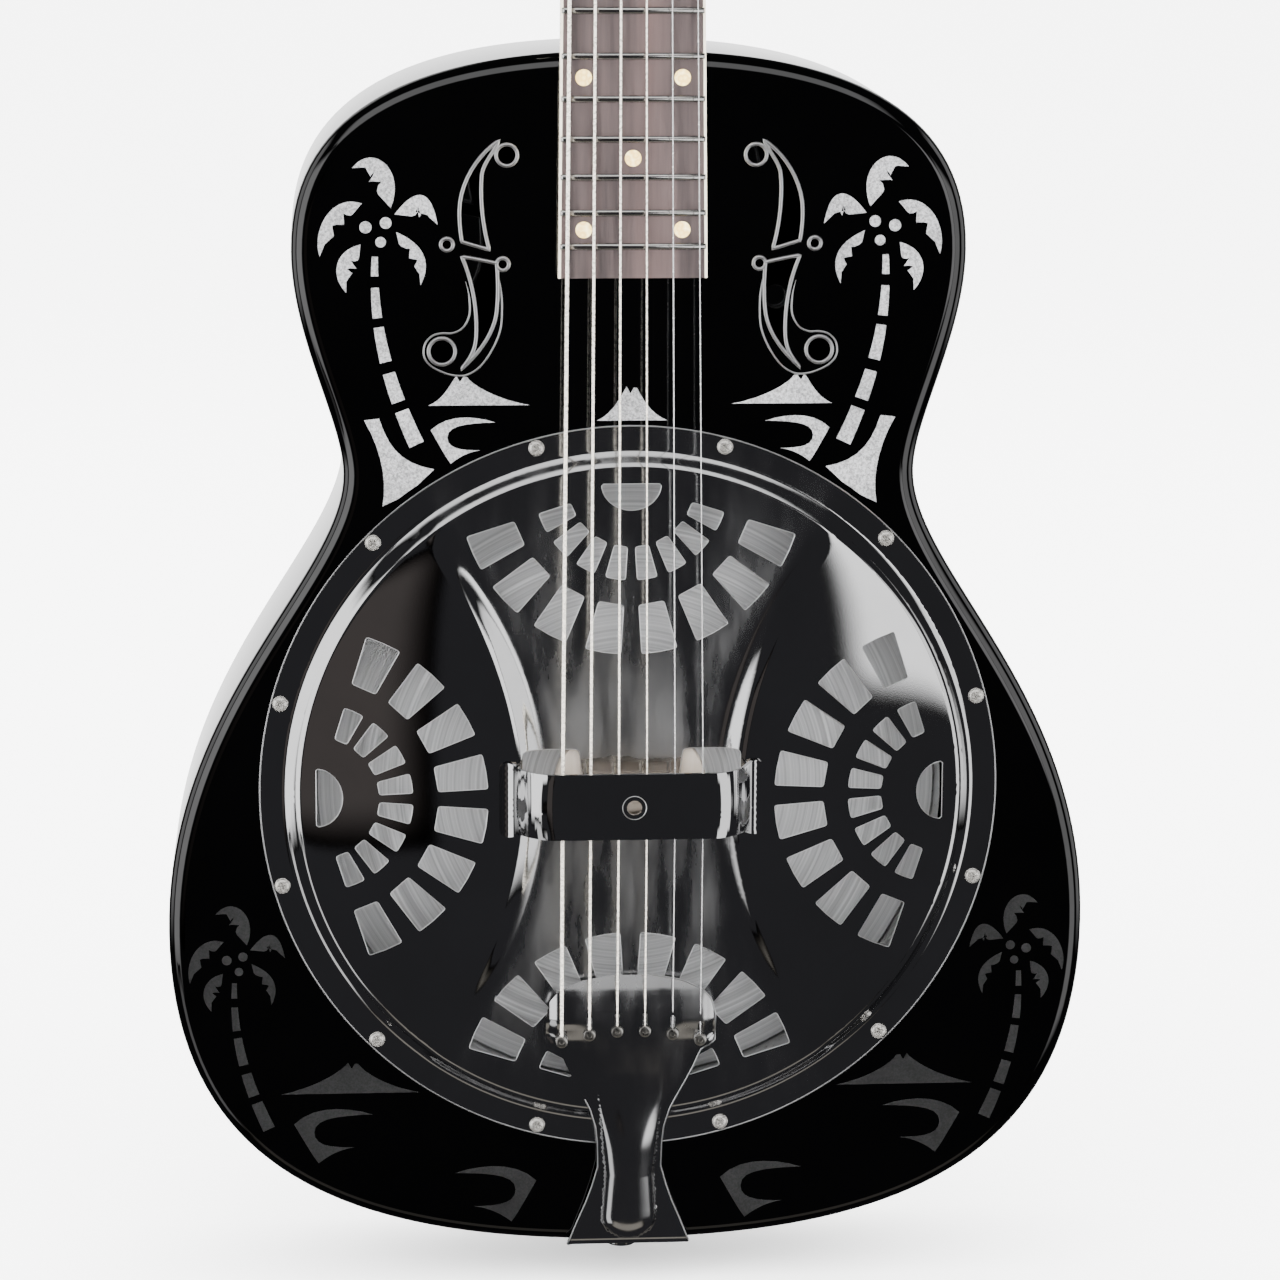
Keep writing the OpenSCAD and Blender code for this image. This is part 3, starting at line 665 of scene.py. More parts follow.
def build_lips():
    """The rolled edges of the f-holes: a bright bead and the turned-in wall behind it."""
    wall_depth, wall_t, bead_r = 4.5, 0.7, 0.78
    for index, loop in enumerate(f_hole_loops()):
        fine = refined(loop, 1.2)
        bead = tube_piece(f"f_hole_bead_{index}", at_depth(fine, FRONT_Y - 0.2), bead_r, "lip",
                          closed=True)
        away = fine - fine.mean(axis=0)
        grow = at_depth(away / np.linalg.norm(away, axis=1)[:, None] * wall_t, 0)
        near, deep = at_depth(fine, FRONT_Y), at_depth(fine, FRONT_Y + wall_depth)
        rings = [near + (0, 0.02, 0), deep, deep + grow, near + grow + (0, WALL + 0.05, 0)]
        wall = add_mesh(f"f_hole_wall_{index}", np.vstack(rings),
                        ring_faces(4, len(fine), closed=True), "lip", angle=40)


def build_border_lines():
    """The pressed line round each lower blade, thinner towards its ends."""
    line = smooth_line(F_BORDER)
    steps = np.arange(len(line))
    radii = 0.42 * np.clip(np.minimum(steps, steps[::-1]) / 10, 0.25, 1)
    for side, name in ((-1, "left"), (1, "right")):
        border = tube_piece(f"f_hole_border_{name}", at_depth(line * (side, 1), FRONT_Y - 0.02),
                            radii, "lip", sides=10)


# ---------------------------------------------------------------- frosted scenes
DECOR_Y = -0.07                            # how far the frosting stands off the plating
# Each frond: its start, two bends and tip, how deep it is, and how many teeth it has
FRONDS = [
    [(-90.6, 409.8), (-84.5, 424), (-97, 435), (-105, 424.8), 9.2, 3],
    [(-101.4, 411.6), (-112.5, 415.5), (-120.5, 402), (-117.4, 391.6), 7.2, 3],
    [(-102, 396.2), (-111.5, 394), (-114, 385), (-107.6, 377.9), 7.4, 3],
    [(-89.2, 407.4), (-80, 419.5), (-75, 415.5), (-73, 403.4), 8.4, 3],
    [(-88.6, 400.8), (-78.6, 396.4), (-74.8, 389.6), (-79.6, 380.6), 5.4, 3]]
# The nuts as (x, z, radius), and the trunk as one curve that shows in separate parts
NUTS = [(-100.1, 402.6, 2.3), (-92.5, 404.2, 2.2), (-94.5, 397, 2.0)]
TRUNK = [(-96.6, 393.5), (-97.6, 372), (-95.6, 350), (-80.8, 318.5)]
TRUNK_PARTS = [(0.03, 0.145), (0.21, 0.38), (0.43, 0.61), (0.665, 0.80), (0.84, 0.985)]
PALM_CENTRE = (-95.6, 401.0)
LOW_PALM_CENTRE = (-152.6, 116.8)


def frond(start, c1, c2, tip, depth, teeth):
    """A leaf with a smooth back and a torn under edge."""
    curve = [start, c1, c2, tip]
    t = np.linspace(0, 1, 22)
    back = bezier(curve, t)
    ahead = bezier_ahead(curve, t)
    inward = np.stack([-ahead[:, 1], ahead[:, 0]], axis=1)
    middle = (np.asarray(start) + tip) / 2
    if np.dot(inward[10], middle - back[10]) < 0:
        inward = -inward
    under = []
    for k in range(teeth * 2, 0, -1):
        s = k / (teeth * 2 + 0.6)
        reach = depth * math.sin(math.pi * min(1, s * 0.92 + 0.06)) ** 0.6
        reach *= 1.0 if k % 2 else 0.55
        i = int(s * 21)
        under.append(back[i] + inward[i] * reach)
        under.append(back[max(i - 1, 0)] + inward[max(i - 1, 0)] * reach * (0.9 if k % 2 else 1.3))
    return np.vstack([back, under])


def palm_shapes():
    shapes = [frond(*f) for f in FRONDS]
    shapes += [ring(x, z, r, 20) for x, z, r in NUTS]
    for start, end in TRUNK_PARTS:
        t = np.linspace(start, end, 6)
        spine, ahead = bezier(TRUNK, t), bezier_ahead(TRUNK, t)
        side = np.stack([-ahead[:, 1], ahead[:, 0]], axis=1)
        half = (1.1 + 1.9 * t)[:, None]
        shapes.append(np.vstack([spine + side * half, (spine - side * half)[::-1]]))
    return shapes


def mountain(x0, x1, base, peak_x, height, notch):
    """A hill with hollow flanks and a broken top."""
    left = bezier([(x0, base), ((x0 + peak_x) / 2, base + height * 0.22),
                   (peak_x - 4, base + height * 0.75), (peak_x - 1.8, base + height)],
                  np.linspace(0, 1, 9))
    right = bezier([(peak_x + 2.2, base + height * 0.96), (peak_x + 4, base + height * 0.7),
                    ((x1 + peak_x) / 2, base + height * 0.2), (x1, base)], np.linspace(0, 1, 9))
    middle = np.array([[peak_x - 0.4, base + height - notch], [peak_x + 0.9, base + height - 0.4]])
    return np.vstack([left, middle, right])


WAVE = [
    [(-51.4, 328.2), (-60, 331), (-70, 331.5), (-76.1, 325.4)],
    [(-76.1, 325.4), (-73, 320), (-70.5, 315), (-68.5, 312.5)],
    [(-68.5, 312.5), (-64.5, 315.8), (-61, 317), (-57.2, 317.6)],
    [(-57.2, 317.6), (-64, 317.6), (-69.8, 318), (-69.8, 322.6)],
    [(-69.8, 322.6), (-69.8, 327.4), (-62, 328), (-51.4, 328.2)]]


def wave(x, z, size, flip=1):
    """A breaker with two arms, drawn about its own middle."""
    return (chain(WAVE, 7) - (-64, 322)) * (flip * size, size) + (x, z)


def ground_wedge():
    """The bank under the palm, between the waist and the coverplate."""
    angles = np.radians(np.linspace(-34, -37.5, 4))
    reach = PLATE_R + 2.2
    edge = np.stack([np.sin(angles) * reach, PLATE_Z + np.cos(angles) * reach], axis=1)
    left = bezier([(-94.6, 296.2), (-92.6, 306), (-94.8, 318), (-101.3, 329.4)],
                  np.linspace(0, 1, 8))
    right = bezier([(-95.6, 330), (-92, 318), (-86.5, 312.4), (-74.8, 310.4)],
                   np.linspace(0, 1, 8))
    return np.vstack([left, right, edge])


def decor_piece(name, loop, material):
    loop = np.asarray(loop)
    piece = sheet_piece(name, loop, [], 4, flat_at(FRONT_Y + DECOR_Y), 0.05, material)


def build_decor():
    upper = palm_shapes() + [
        mountain(-77, -38.5, 334.8, -64.5, 11.4, 2.4),
        wave(-64, 322, 1),
        ground_wedge()]
    shift, base = np.array(LOW_PALM_CENTRE), np.array(PALM_CENTRE)
    lower = [(s - base) * 0.83 + shift for s in palm_shapes()]
    lower += [mountain(-136, -82, 63.5, -108, 12.5, 2.5), wave(-116, 47, 1.25),
              wave(-52, 22, 1.3, -1)]
    for side, mark in ((1, "left"), (-1, "right")):
        for k, shape in enumerate(upper):
            decor_piece(f"frosted_upper_{mark}_{k}", shape * (side, 1), "frost")
        for k, shape in enumerate(lower):
            # the lower scenes use the frosting darkened with painted shade
            decor_piece(f"frosted_lower_{mark}_{k}", shape * (side, 1), "frost_painted_shade")
    decor_piece("frosted_middle_hill", mountain(-13, 14, 328.6, 0.2, 13, 2.6), "frost")


# ---------------------------------------------------------------- coverplate
FLANGE_R = PLATE_R - 10
STEP_R = FLANGE_R - 3.5
STEP_H, PLATE_T, STEP_SOFT = 5.0, 1.0, 2.6
DOME_H = FRONT_Y - PLATE_LOW[1]
FLOOR_H = 8.0


def valley_half(z):
    """Half the width of the valley that the strings run in."""
    return 37.5 + 0.0036 * z * z


def plate_height(x, z):
    """Height of the coverplate above the body's top, z being counted from its centre."""
    r = np.hypot(x, z)
    dome = STEP_H + (DOME_H - STEP_H) * np.clip(1 - (r / STEP_R) ** 2, 0, 1) ** 0.85
    floor = STEP_H - 0.3 + (FLOOR_H - STEP_H + 0.3) * np.clip(1 - np.abs(z) / STEP_R, 0, 1) ** 0.7
    lobe = smooth_step(np.abs(x) - valley_half(z), -5.5, 6.5)
    inner = floor + (dome - floor) * lobe
    step = smooth_step(r, STEP_R - STEP_SOFT, FLANGE_R + 1.0)
    return inner * (1 - step) + PLATE_T * step


def plate_surface(u, v):
    return np.stack([u, FRONT_Y - plate_height(u, v - PLATE_Z), v], axis=1)


def corner(a, b, c, radius, most, steps):
    """Points that round the corner at b, taking at most that share of each side."""
    first = b + (a - b) * min(most, radius / np.linalg.norm(a - b))
    last = b + (c - b) * min(most, radius / np.linalg.norm(c - b))
    return [first * (1 - t) ** 2 + 2 * b * t * (1 - t) + last * t * t
            for t in np.linspace(0, 1, steps)]


def rounded(loop, radius, steps=3):
    """Rounds the corners of a small polygon."""
    loop = np.asarray(loop, float)
    made = []
    for a, b, c in zip(np.roll(loop, 1, axis=0), loop, np.roll(loop, -1, axis=0)):
        made += corner(a, b, c, radius, 0.45, steps)
    return np.array(made)


def turned(loop, angle):
    c, s = math.cos(angle), math.sin(angle)
    return loop @ np.array([[c, s], [-s, c]])


def slot_loops():
    """The four fans of slots, each spread about the middle of its half-moon's flat side."""
    group_r, half = 121.0, math.radians(6.0)
    loops = []
    moon = np.array([(11.5 * math.cos(a), 10.2 * math.sin(a))
                     for a in np.radians(np.arange(0, 181, 12))])
    for quarter in range(4):
        group = [rounded(moon, 0.8, 2)]
        for at in np.radians([-66.5, -47.5, -28.5, -9.5, 9.5, 28.5, 47.5, 66.5]):
            for r0, r1 in ((24.3, 37.1), (46.9, 65.9)):
                corners = [(r1 * math.sin(at + k), r1 * math.cos(at + k))
                           for k in (-half, 0, half)]
                corners += [(r0 * math.sin(at + k), r0 * math.cos(at + k))
                            for k in (half, -half)]
                group.append(rounded(corners, 0.9, 3))
        loops += [turned(g + (0, -group_r), quarter * math.pi / 2) + (0, PLATE_Z) for g in group]
    return loops


def opening_loop():
    """The saddle's opening: hidden under the hand rest but for its two windows."""
    wide, near, hidden, far, inner = 42.0, 8.0, 6.5, 18.3, 20.0
    corners = [(-wide, -near), (wide, -near), (wide, far), (inner, far), (inner - 1.5, hidden),
               (1.5 - inner, hidden), (-inner, far), (-wide, far)]
    return rounded(corners, 2.0, 4) + (0, PLATE_Z)


def plate_guides():
    """Rings round the step, and lines along the valley's shoulders."""
    guides = []
    for r in np.linspace(STEP_R - STEP_SOFT - 0.4, FLANGE_R + 1.4, 10):
        loop = ring(0, PLATE_Z, r, 300)
        guides.append(np.vstack([loop, loop[:1] + (0, 1e-4)]))
    for side in (-1, 1):
        for shift in np.linspace(-6, 7, 9):
            z = np.linspace(-124, 124, 140)
            x = valley_half(z) + shift
            keep = np.hypot(x, z) < STEP_R - STEP_SOFT - 1
            guides.append(np.stack([side * x, z + PLATE_Z], axis=1)[keep])
    return guides


def build_coverplate():
    outline = ring(0, PLATE_Z, PLATE_R - 0.02, 360)
    slots = slot_loops() + [opening_loop()]
    plate = sheet_piece("coverplate_sheet", outline, slots, 1.9, plate_surface, PLATE_T - 0.1,
                        "plate", guides=plate_guides())
    for index, loop in enumerate(slots):
        fine = refined(loop, 1.3)
        bead = plate_surface(fine[:, 0], fine[:, 1]) + (0, 0.12, 0)
        edge = tube_piece(f"slot_edge_{index}", bead, 0.2, "lip", closed=True, sides=6)
    rim = ring(0, PLATE_Z, PLATE_R - 0.3, 300)
    edge = tube_piece("coverplate_edge", plate_surface(rim[:, 0], rim[:, 1]), 0.3, "lip",
                      closed=True, sides=8)
    stands_for("coverplate")


def cross_head(u, v, radius, height):
    r = np.hypot(u, v)
    dome = height * np.clip(1 - (r / radius) ** 2.4, 0, 1) ** 0.5
    cross = np.minimum(np.abs(u), np.abs(v))
    recess = smooth_step(-cross, -0.52, -0.3) * smooth_step(-r, -1.75, -1.2)
    return dome - 0.8 * recess


def screw_piece(name, centre, turn, radius=3.1, height=1.7):
    """A domed cross-head screw, facing the front."""
    def surface(u, v):
        c, s = math.cos(turn), math.sin(turn)
        up = cross_head(c * u + s * v, c * v - s * u, radius, height)
        return np.stack([centre[0] + u, centre[1] - up, centre[2] + v], axis=1)
    return sheet_piece(name, ring(0, 0, radius, 32), [], 0.34, surface, 0.3, "screw")


def build_plate_screws():
    reach = 0.973 * PLATE_R
    for i in range(12):
        a = math.radians((i + 0.5) * 30)
        centre = (reach * math.sin(a), FRONT_Y - PLATE_T, PLATE_Z + reach * math.cos(a))
        screw = screw_piece(f"coverplate_screw_{i}", centre, 0.7 + 1.9 * i)
        stands_for("coverplate_screws")


# ---------------------------------------------------------------- hand rest
def path_surface(path, widen):
    """A surface that follows a path of (x, height): u is the distance along it, v the way up
    the body. widen gives the stretch across at each distance."""
    path = np.asarray(path, float)
    along = distances(path)

    def surface(u, v):
        x = np.interp(u, along, path[:, 0])
        h = np.interp(u, along, path[:, 1])
        return np.stack([x, FRONT_Y - h, PLATE_Z + v * widen(u, along[-1])], axis=1)
    return surface, along[-1]


def filleted(points, radius, steps=9):
    """A path with its corners turned into arcs."""
    points = [np.asarray(p, float) for p in points]
    made = [points[0]]
    for a, b, c in zip(points, points[1:], points[2:]):
        made += corner(a, b, c, radius, 0.48, steps)
    return np.array(made + [points[-1]])


def distances(path):
    """How far along the path each of its points is."""
    return np.concatenate([[0], np.cumsum(np.linalg.norm(np.diff(path, axis=0), axis=1))])


def build_hand_rest():
    top = FRONT_Y - REST_LOW[1]
    foot = 13.9
    half_w = (REST_HIGH[2] - REST_LOW[2]) / 2
    path = filleted([(-51, foot), (-45.8, foot + 0.4), (-37.6, top), (37.6, top),
                     (45.8, foot + 0.4), (51, foot)], 8)

    def widen(u, total):
        edge = np.minimum(u, total - u)
        return 1 + 0.14 * (1 - smooth_step(edge, 3, 11))
    bent, total = path_surface(path, widen)

    def surface(u, v):
        """The strap, with shoulders that are also rounded across it."""
        edge = np.minimum(u, total - u)
        shoulder = smooth_step(edge, 6, 15) * (1 - smooth_step(edge, 17, 27))
        return bent(u, v) + np.stack([0 * u, 1.5 * shoulder * (v / half_w) ** 2, 0 * u], axis=1)
    loop = rounded([(0, -half_w), (total, -half_w), (total, half_w), (0, half_w)], 3.5, 6)
    hole = ring(total / 2, -0.3, 2.9, 32)
    lines = [np.stack([np.full(27, u), np.linspace(-half_w + 0.05, half_w - 0.05, 27)], axis=1)
             for u in np.concatenate([np.arange(1, 30, 0.8), total - np.arange(1, 30, 0.8)])
             if min(u, total - u) > 4]
    rest = sheet_piece("hand_rest_strap", loop, [hole], 1.2, surface, 1.6, "plate", guides=lines)
    stands_for("hand_rest")
    sink = lathe("hand_rest_countersink",
                 [(4.7, 0.03), (4.5, 0.12), (2.95, -1.2), (2.85, -1.55), (3.1, -1.55), (4.4, -0.2),
                  (4.7, 0.03)],
                 (0, FRONT_Y - top, PLATE_Z - 0.3), (0, -1, 0), "lip", 48)


# ---------------------------------------------------------------- tailpiece
TAIL_TOP = box_mm("tailpiece")[1][2] - 0.6
# The place up the body, and half the tailpiece's width there
TAIL_WIDTHS = [(-2, 24.3), (1, 23.8), (10, 20.3), (18, 17), (25, 14.6), (33, 12.4), (43, 12.6),
               (50, 13.4), (57.6, 15.6), (63, 18.3), (69.5, 21.8), (75, 24.6), (79.5, 26.4),
               (82.5, 27.8), (84.2, 31.2), (86, 33), (97, 33), (103, 31.4), (107, 28),
               (110.5, 20), (TAIL_TOP, 8)]


# The tailpiece from the side, as (height, place up the body): the fold over the tail, the strap
# up to the head, and the head that rolls back towards the coverplate
TAIL_PATH = filleted([(FRONT_Y - 8.0, -1.7), (1.7, -1.7), (2.3, 9), (7.6, 57), (12.2, 80),
                      (14.1, 92), (13.6, 103), (9.4, TAIL_TOP)], 9, 10)
TAIL_ALONG = distances(TAIL_PATH)
TAIL_FOLD = TAIL_ALONG[np.argmax(TAIL_PATH[:, 0] > 0.5)]
BALL_LOW, BALL_HIGH = box_mm("ball_ends")
BALL_X = np.linspace(BALL_LOW[0] + 2.35, BALL_HIGH[0] - 2.35, 6)


def tail_rib(x, z):
    """The half-round rib, widest at its rounded lower end."""
    half = np.interp(z, [0, 14, 30, 62], [11.2, 10.6, 9.6, 12.5])
    cap = np.sqrt(np.clip(1 - np.clip((12.5 - z) / 9.5, 0, 1) ** 2, 0, 1))
    bulge = np.clip(1 - (x / (half * np.maximum(cap, 0.05))) ** 2, 0, 1) ** 0.65
    return 4.8 * cap * bulge * (1 - smooth_step(z, 40, 74)) * (z > 3)


def tail_surface(u, v):
    """The pressing: u is the place across it, v the distance along its path."""
    h = np.interp(v, TAIL_ALONG, TAIL_PATH[:, 0])
    z = np.interp(v, TAIL_ALONG, TAIL_PATH[:, 1])
    h = h + np.where(v > TAIL_FOLD, tail_rib(u, z), 0)
    dish = smooth_step(z, 52, 84) * (1 - smooth_step(z, 86, 96))
    h = h - 2.6 * dish * smooth_step(np.abs(u), 9, 24)
    curl = smooth_step(np.abs(u), 27.5, 33) * smooth_step(z, 84, 90)
    return np.stack([u, FRONT_Y - h + 2.2 * curl, z], axis=1)


def key_hole(x):
    """A round hole for a ball end, with a narrow slot above it for the string."""
    base = np.interp(91.3 - 4 * (x / 27) ** 2, TAIL_PATH[10:, 1], TAIL_ALONG[10:])
    r, half, gap = 2.45, 1.0, 0.42
    points = [(x + half, base + 6.6), (x + half, base + 2.2)]
    points += [(x + r * math.sin(a), base + r * math.cos(a))
               for a in np.linspace(gap, 2 * math.pi - gap, 18)]
    points += [(x - half, base + 2.2), (x - half, base + 6.6), (x, base + 7.4)]
    return np.array(points)


def build_tailpiece():
    t = np.linspace(0, TAIL_ALONG[-1], 170)
    z = np.interp(t, TAIL_ALONG, TAIL_PATH[:, 1])
    back_half = np.interp(t, [0, 12, 38, TAIL_FOLD], [8, 10.5, 20, 24.3])
    half = np.where(t < TAIL_FOLD, back_half, np.interp(z, *np.array(TAIL_WIDTHS).T))
    right = np.stack([half, t], axis=1)
    outline = np.vstack([right, (right * (-1, 1))[::-1]])
    piece = sheet_piece("tailpiece_pressing", outline, [key_hole(x) for x in BALL_X], 1.0,
                        tail_surface, 1.3, "plate")
    stands_for("tailpiece")
    rim = tail_surface(outline[:, 0], outline[:, 1])[np.tile(t > TAIL_FOLD, 2)]
    middle = len(rim) // 2
    for name, line in (("tailpiece_edge", rim[:middle]), ("tailpiece_edge_right", rim[middle:])):
        tube_piece(name, line, 0.3, "lip", sides=8)


# ---------------------------------------------------------------- cone
def build_cone():
    """The spun cone, with its ridged skirt, seen through the slots."""
    low, high = box_mm("cone")
    top_h, lip_h = FRONT_Y - low[1], FRONT_Y - high[1]
    radius = (high[0] - low[0]) / 2
    skin = 0.7
    front = [(2.1, top_h), (13, top_h)]
    for r in np.arange(15, 108, 1.0):
        slope = top_h - (top_h - lip_h - 1.6) * ((r - 13) / 97) ** 0.94
        ridge = 0.55 * math.sin((r - 78) / 30 * 2 * math.pi * 4) if 78 <= r <= 108 else 0
        front.append((r, slope + ridge))
    front += [(112, lip_h + skin), (radius - 0.1, lip_h + skin)]
    profile = front + [(r, h - skin) for r, h in front[::-1]] + [front[0]]
    cone = lathe("spun_cone", profile, (0, FRONT_Y, PLATE_Z), (0, -1, 0), "cone", 144, angle=45)
    stands_for("cone")


def build_biscuit():
    """The maple disc on the cone, bored for its screw."""
    low, high = box_mm("biscuit")
    top_h, base_h = FRONT_Y - low[1], FRONT_Y - high[1]
    radius = (high[0] - low[0]) / 2
    # the disc's maple is darkened with painted shade
    disc = lathe("biscuit_disc", [(1.7, base_h), (radius - 0.6, base_h), (radius, base_h + 0.6),
                                  (radius, top_h - 1.4), (radius - 0.5, top_h - 0.4),
                                  (radius - 1.5, top_h), (1.7, top_h), (1.7, base_h)],
                 (0, FRONT_Y, PLATE_Z), (0, -1, 0), "biscuit", 96)
    stands_for("biscuit")


def build_saddle():
    """The saddle on the biscuit, with a notch for each string."""
    top_h = FRONT_Y - box_mm("biscuit")[0][1]
    low, high = box_mm("saddle")
    edge_h = FRONT_Y - low[1]
    count = 121
    xs = np.linspace(low[0], high[0], count)
    notch = np.min([np.abs(xs - x) for x in STRING_X], axis=0)
    tops = edge_h - 0.2 - 0.5 * (1 - smooth_step(notch, 0.4, 0.9))
    tops -= 1.2 * (1 - smooth_step(np.minimum(xs - low[0], high[0] - xs), 0, 1.4))
    rings = []
    for x, top in zip(xs, tops):
        rings += [(x, FRONT_Y - h, PLATE_Z + z) for h, z in
                  [(top_h, -1.7), (top - 4.0, -1.65), (top - 0.5, -0.75), (top, -0.25),
                   (top, 0.35), (top - 0.5, 1.1), (top - 4.0, 1.7), (top_h, 1.7)]]
    # the saddle's maple is darkened with painted shade
    saddle = add_mesh("saddle_blade", rings, ring_faces(count, 8) + end_faces(count, 8), "biscuit",
                      angle=30)
    stands_for("saddle")


# ---------------------------------------------------------------- strings
# Each string's radius, from the thickest
STRING_R = [0.72, 0.56, 0.44, 0.35, 0.25, 0.22]
STRING_X = np.linspace(-27, 27, 6)


def build_ball_ends():
    centre_y = (BALL_LOW[1] + BALL_HIGH[1]) / 2
    for k, x in enumerate(BALL_X):
        z = BALL_HIGH[2] - 2.35 - 4 * ((x / 27) ** 2 - (BALL_X[2] / 27) ** 2)
        profile = [(0, 1.0), (0.75, 1.0), (0.95, 1.38), (1.7, 1.4), (2.2, 1.15), (2.35, 0.7),
                   (1.95, 0.25), (1.95, -0.25), (2.35, -0.7), (2.2, -1.15), (1.7, -1.4), (0, -1.4)]
        ball = lathe(f"ball_end_{k + 1}", profile, (x, centre_y, z), (0, -1, 0), "ball", 32)
        stands_for("ball_ends")
        twist = [(x + 0.5 * STRING_R[k] * math.cos(a), centre_y + 0.5 * STRING_R[k] * math.sin(a),
                  z + 2.3 + 8 * a / 26) for a in np.arange(0, 26, 0.5)]
        wrap = tube_piece(f"ball_wrap_{k + 1}", twist, 0.42 * STRING_R[k] + 0.28, "ball", sides=8)


# ---------------------------------------------------------------- neck
SCALE = 635.0
NECK_TILT, HEAD_TILT = math.radians(1.5), math.radians(14)
BOARD_RISE, BOARD_T, NUT_T = 7.0, 5.5, 5.0
JOINT_Z = PLATE_Z + SCALE / 2 ** (14 / 12)
NUT_L = SCALE - SCALE / 2 ** (14 / 12)
BOARD_EXT = SCALE * (2 ** (-14 / 12) - 2 ** (-20 / 12))
NUT_W, BOARD_END_W = 47.5, 56.2
HEAD_T, HEAD_LEN, HEAD_HALF = 15.0, 172.0, 37.0


def tipped(points, angle):
    p = np.asarray(points, float)
    c, s = math.cos(angle), math.sin(angle)
    return np.stack([p[..., 0], p[..., 1] * c - p[..., 2] * s, p[..., 1] * s + p[..., 2] * c], -1)


def on_neck(points):
    return tipped(points, -NECK_TILT) + (0, FRONT_Y - BOARD_RISE, JOINT_Z)


def on_head(points):
    return on_neck(tipped(points, -HEAD_TILT) + (0, BOARD_T, NUT_L + NUT_T))


def board_width(z):
    return NUT_W + (BOARD_END_W - NUT_W) * (NUT_L - z) / (NUT_L + BOARD_EXT)


def fret_place(n):
    return NUT_L - SCALE * (1 - 2 ** (-n / 12))


def loft(name, rings, material, body="root", angle=50):
    """Joins rings of equal point counts into one closed skin."""
    rings = np.asarray(rings, float)
    count, n = rings.shape[:2]
    faces = ring_faces(count, n) + end_faces(count, n)
    return outward(add_mesh(name, rings.reshape(-1, 3), faces, material, body, angle), angle)


def build_shaft():
    """The neck's round back, growing deeper into the heel."""
    heel_deep = 55.5 - BOARD_T
    places = np.concatenate([np.linspace(-2.5, 60, 44), np.linspace(66, NUT_L + 4.9, 40)])
    rings = []
    for z in places:
        along = z / NUT_L
        depth = 18.5 - 3.0 * along
        heel = (1 - smooth_step(z, 4, 48)) ** 2.1
        depth = depth + (heel_deep - depth) * heel
        head = smooth_step(z, NUT_L - 26, NUT_L + 4)
        half = min(board_width(z), BOARD_END_W) / 2 - 0.1
        ring_points = []
        for a in np.linspace(0, math.pi, 33):
            side, deep = math.cos(a), math.sin(a)
            x = half * math.copysign(abs(side) ** (0.86 - 0.2 * heel), side)
            x *= 1 - heel * 0.42 * deep ** 1.4
            y = BOARD_T + 0.05 + depth * deep ** (0.92 + 0.3 * heel) * (1 - 0.12 * head * deep)
            ring_points.append((x, y, z))
        rings.append(on_neck(ring_points))
    shaft = loft("neck_shaft", rings, "neck")
    stands_for("neck")


def build_board_support():
    """The wood that fills the gap between the fretboard's end and the body's top."""
    block = []
    for z in np.linspace(-BOARD_EXT + 2.0, 1.5, 12):
        half = board_width(z) / 2 - 1.5
        top = BOARD_T + 0.02
        floor = BOARD_RISE + 0.02 - z * math.tan(NECK_TILT)
        block.append(on_neck([(-half, top, z), (half, top, z), (half + 0.7, floor, z),
                              (-half - 0.7, floor, z)]))
    raised = loft("neck_board_support", block, "overlay")
    stands_for("neck")


def build_headstock():
    """The headstock, with the edges of its back rounded."""
    half_outline = [(23.9, -5.5), (24.0, 2), (25.4, 9), (30, 17), (34.5, 24.5), (35.6, 60),
                    (HEAD_HALF - 0.3, HEAD_LEN - 12), (HEAD_HALF - 1.8, HEAD_LEN - 7),
                    (29, HEAD_LEN - 4.6), (21, HEAD_LEN - 2.4), (11, HEAD_LEN - 0.7), (0, HEAD_LEN)]
    line = refined(np.array(half_outline + [(-x, z) for x, z in half_outline[-2::-1]]), 5)
    centre = np.array([0, HEAD_LEN / 2])
    towards = (centre - line) / np.linalg.norm(centre - line, axis=1)[:, None]
    rings = []
    for y, inset in [(0.0, 0.0), (HEAD_T - 2.2, 0), (HEAD_T - 1.2, 0.3), (HEAD_T - 0.4, 1.1),
                     (HEAD_T, 2.2)]:
        rings.append(on_head(at_depth(line + towards * inset, y)))
    head = loft("headstock", rings, "neck", angle=40)
    stands_for("neck")


def build_frets():
    crown = [(math.cos(a) * 1.3, -0.98 * math.sin(a)) for a in np.linspace(0, math.pi, 11)]
    for n in range(1, 20):
        z, half = fret_place(n), board_width(fret_place(n)) / 2 - 0.5
        rings = []
        for x in [-half, -half + 0.35, -half + 1.0, half - 1.0, half - 0.35, half]:
            low = 1 - smooth_step(half - abs(x), -0.01, 1.0)
            rings.append(on_neck([(x, 0.02 + y * (1 - 0.75 * low), z + s * (1 - 0.25 * low))
                                  for s, y in crown] + [(x, 0.4, z - 1.0), (x, 0.4, z + 1.0)]))
        wire = loft(f"fret_{n}", rings, "fret", angle=60)
        stands_for("frets")


def build_nut():
    """The bone nut, with rounded top and a notch for each string."""
    xs = np.linspace(-NUT_W / 2 + 0.05, NUT_W / 2 - 0.05, 121)
    places = np.linspace(-20.5, 20.5, 6)
    rings = []
    for x in xs:
        gap = np.min(np.abs(places - x))
        top = -1.95 + 0.75 * (1 - smooth_step(gap, 0.4, 0.8))
        end = 1 - smooth_step(NUT_W / 2 - abs(x), 0, 1.5)
        top += 0.9 * end
        section = [(BOARD_T + 0.1, 0.05), (top + 0.7, 0.05), (top + 0.15, 0.45), (top, 1.2),
                   (top + 0.25, 3.0), (top + 0.9, 4.4), (top + 1.8, 4.95), (BOARD_T + 0.1, 4.95)]
        rings.append(on_neck([(x, y, NUT_L + z) for y, z in section]))
    nut = loft("nut_bone", rings, "bone", angle=35)
    stands_for("nut")


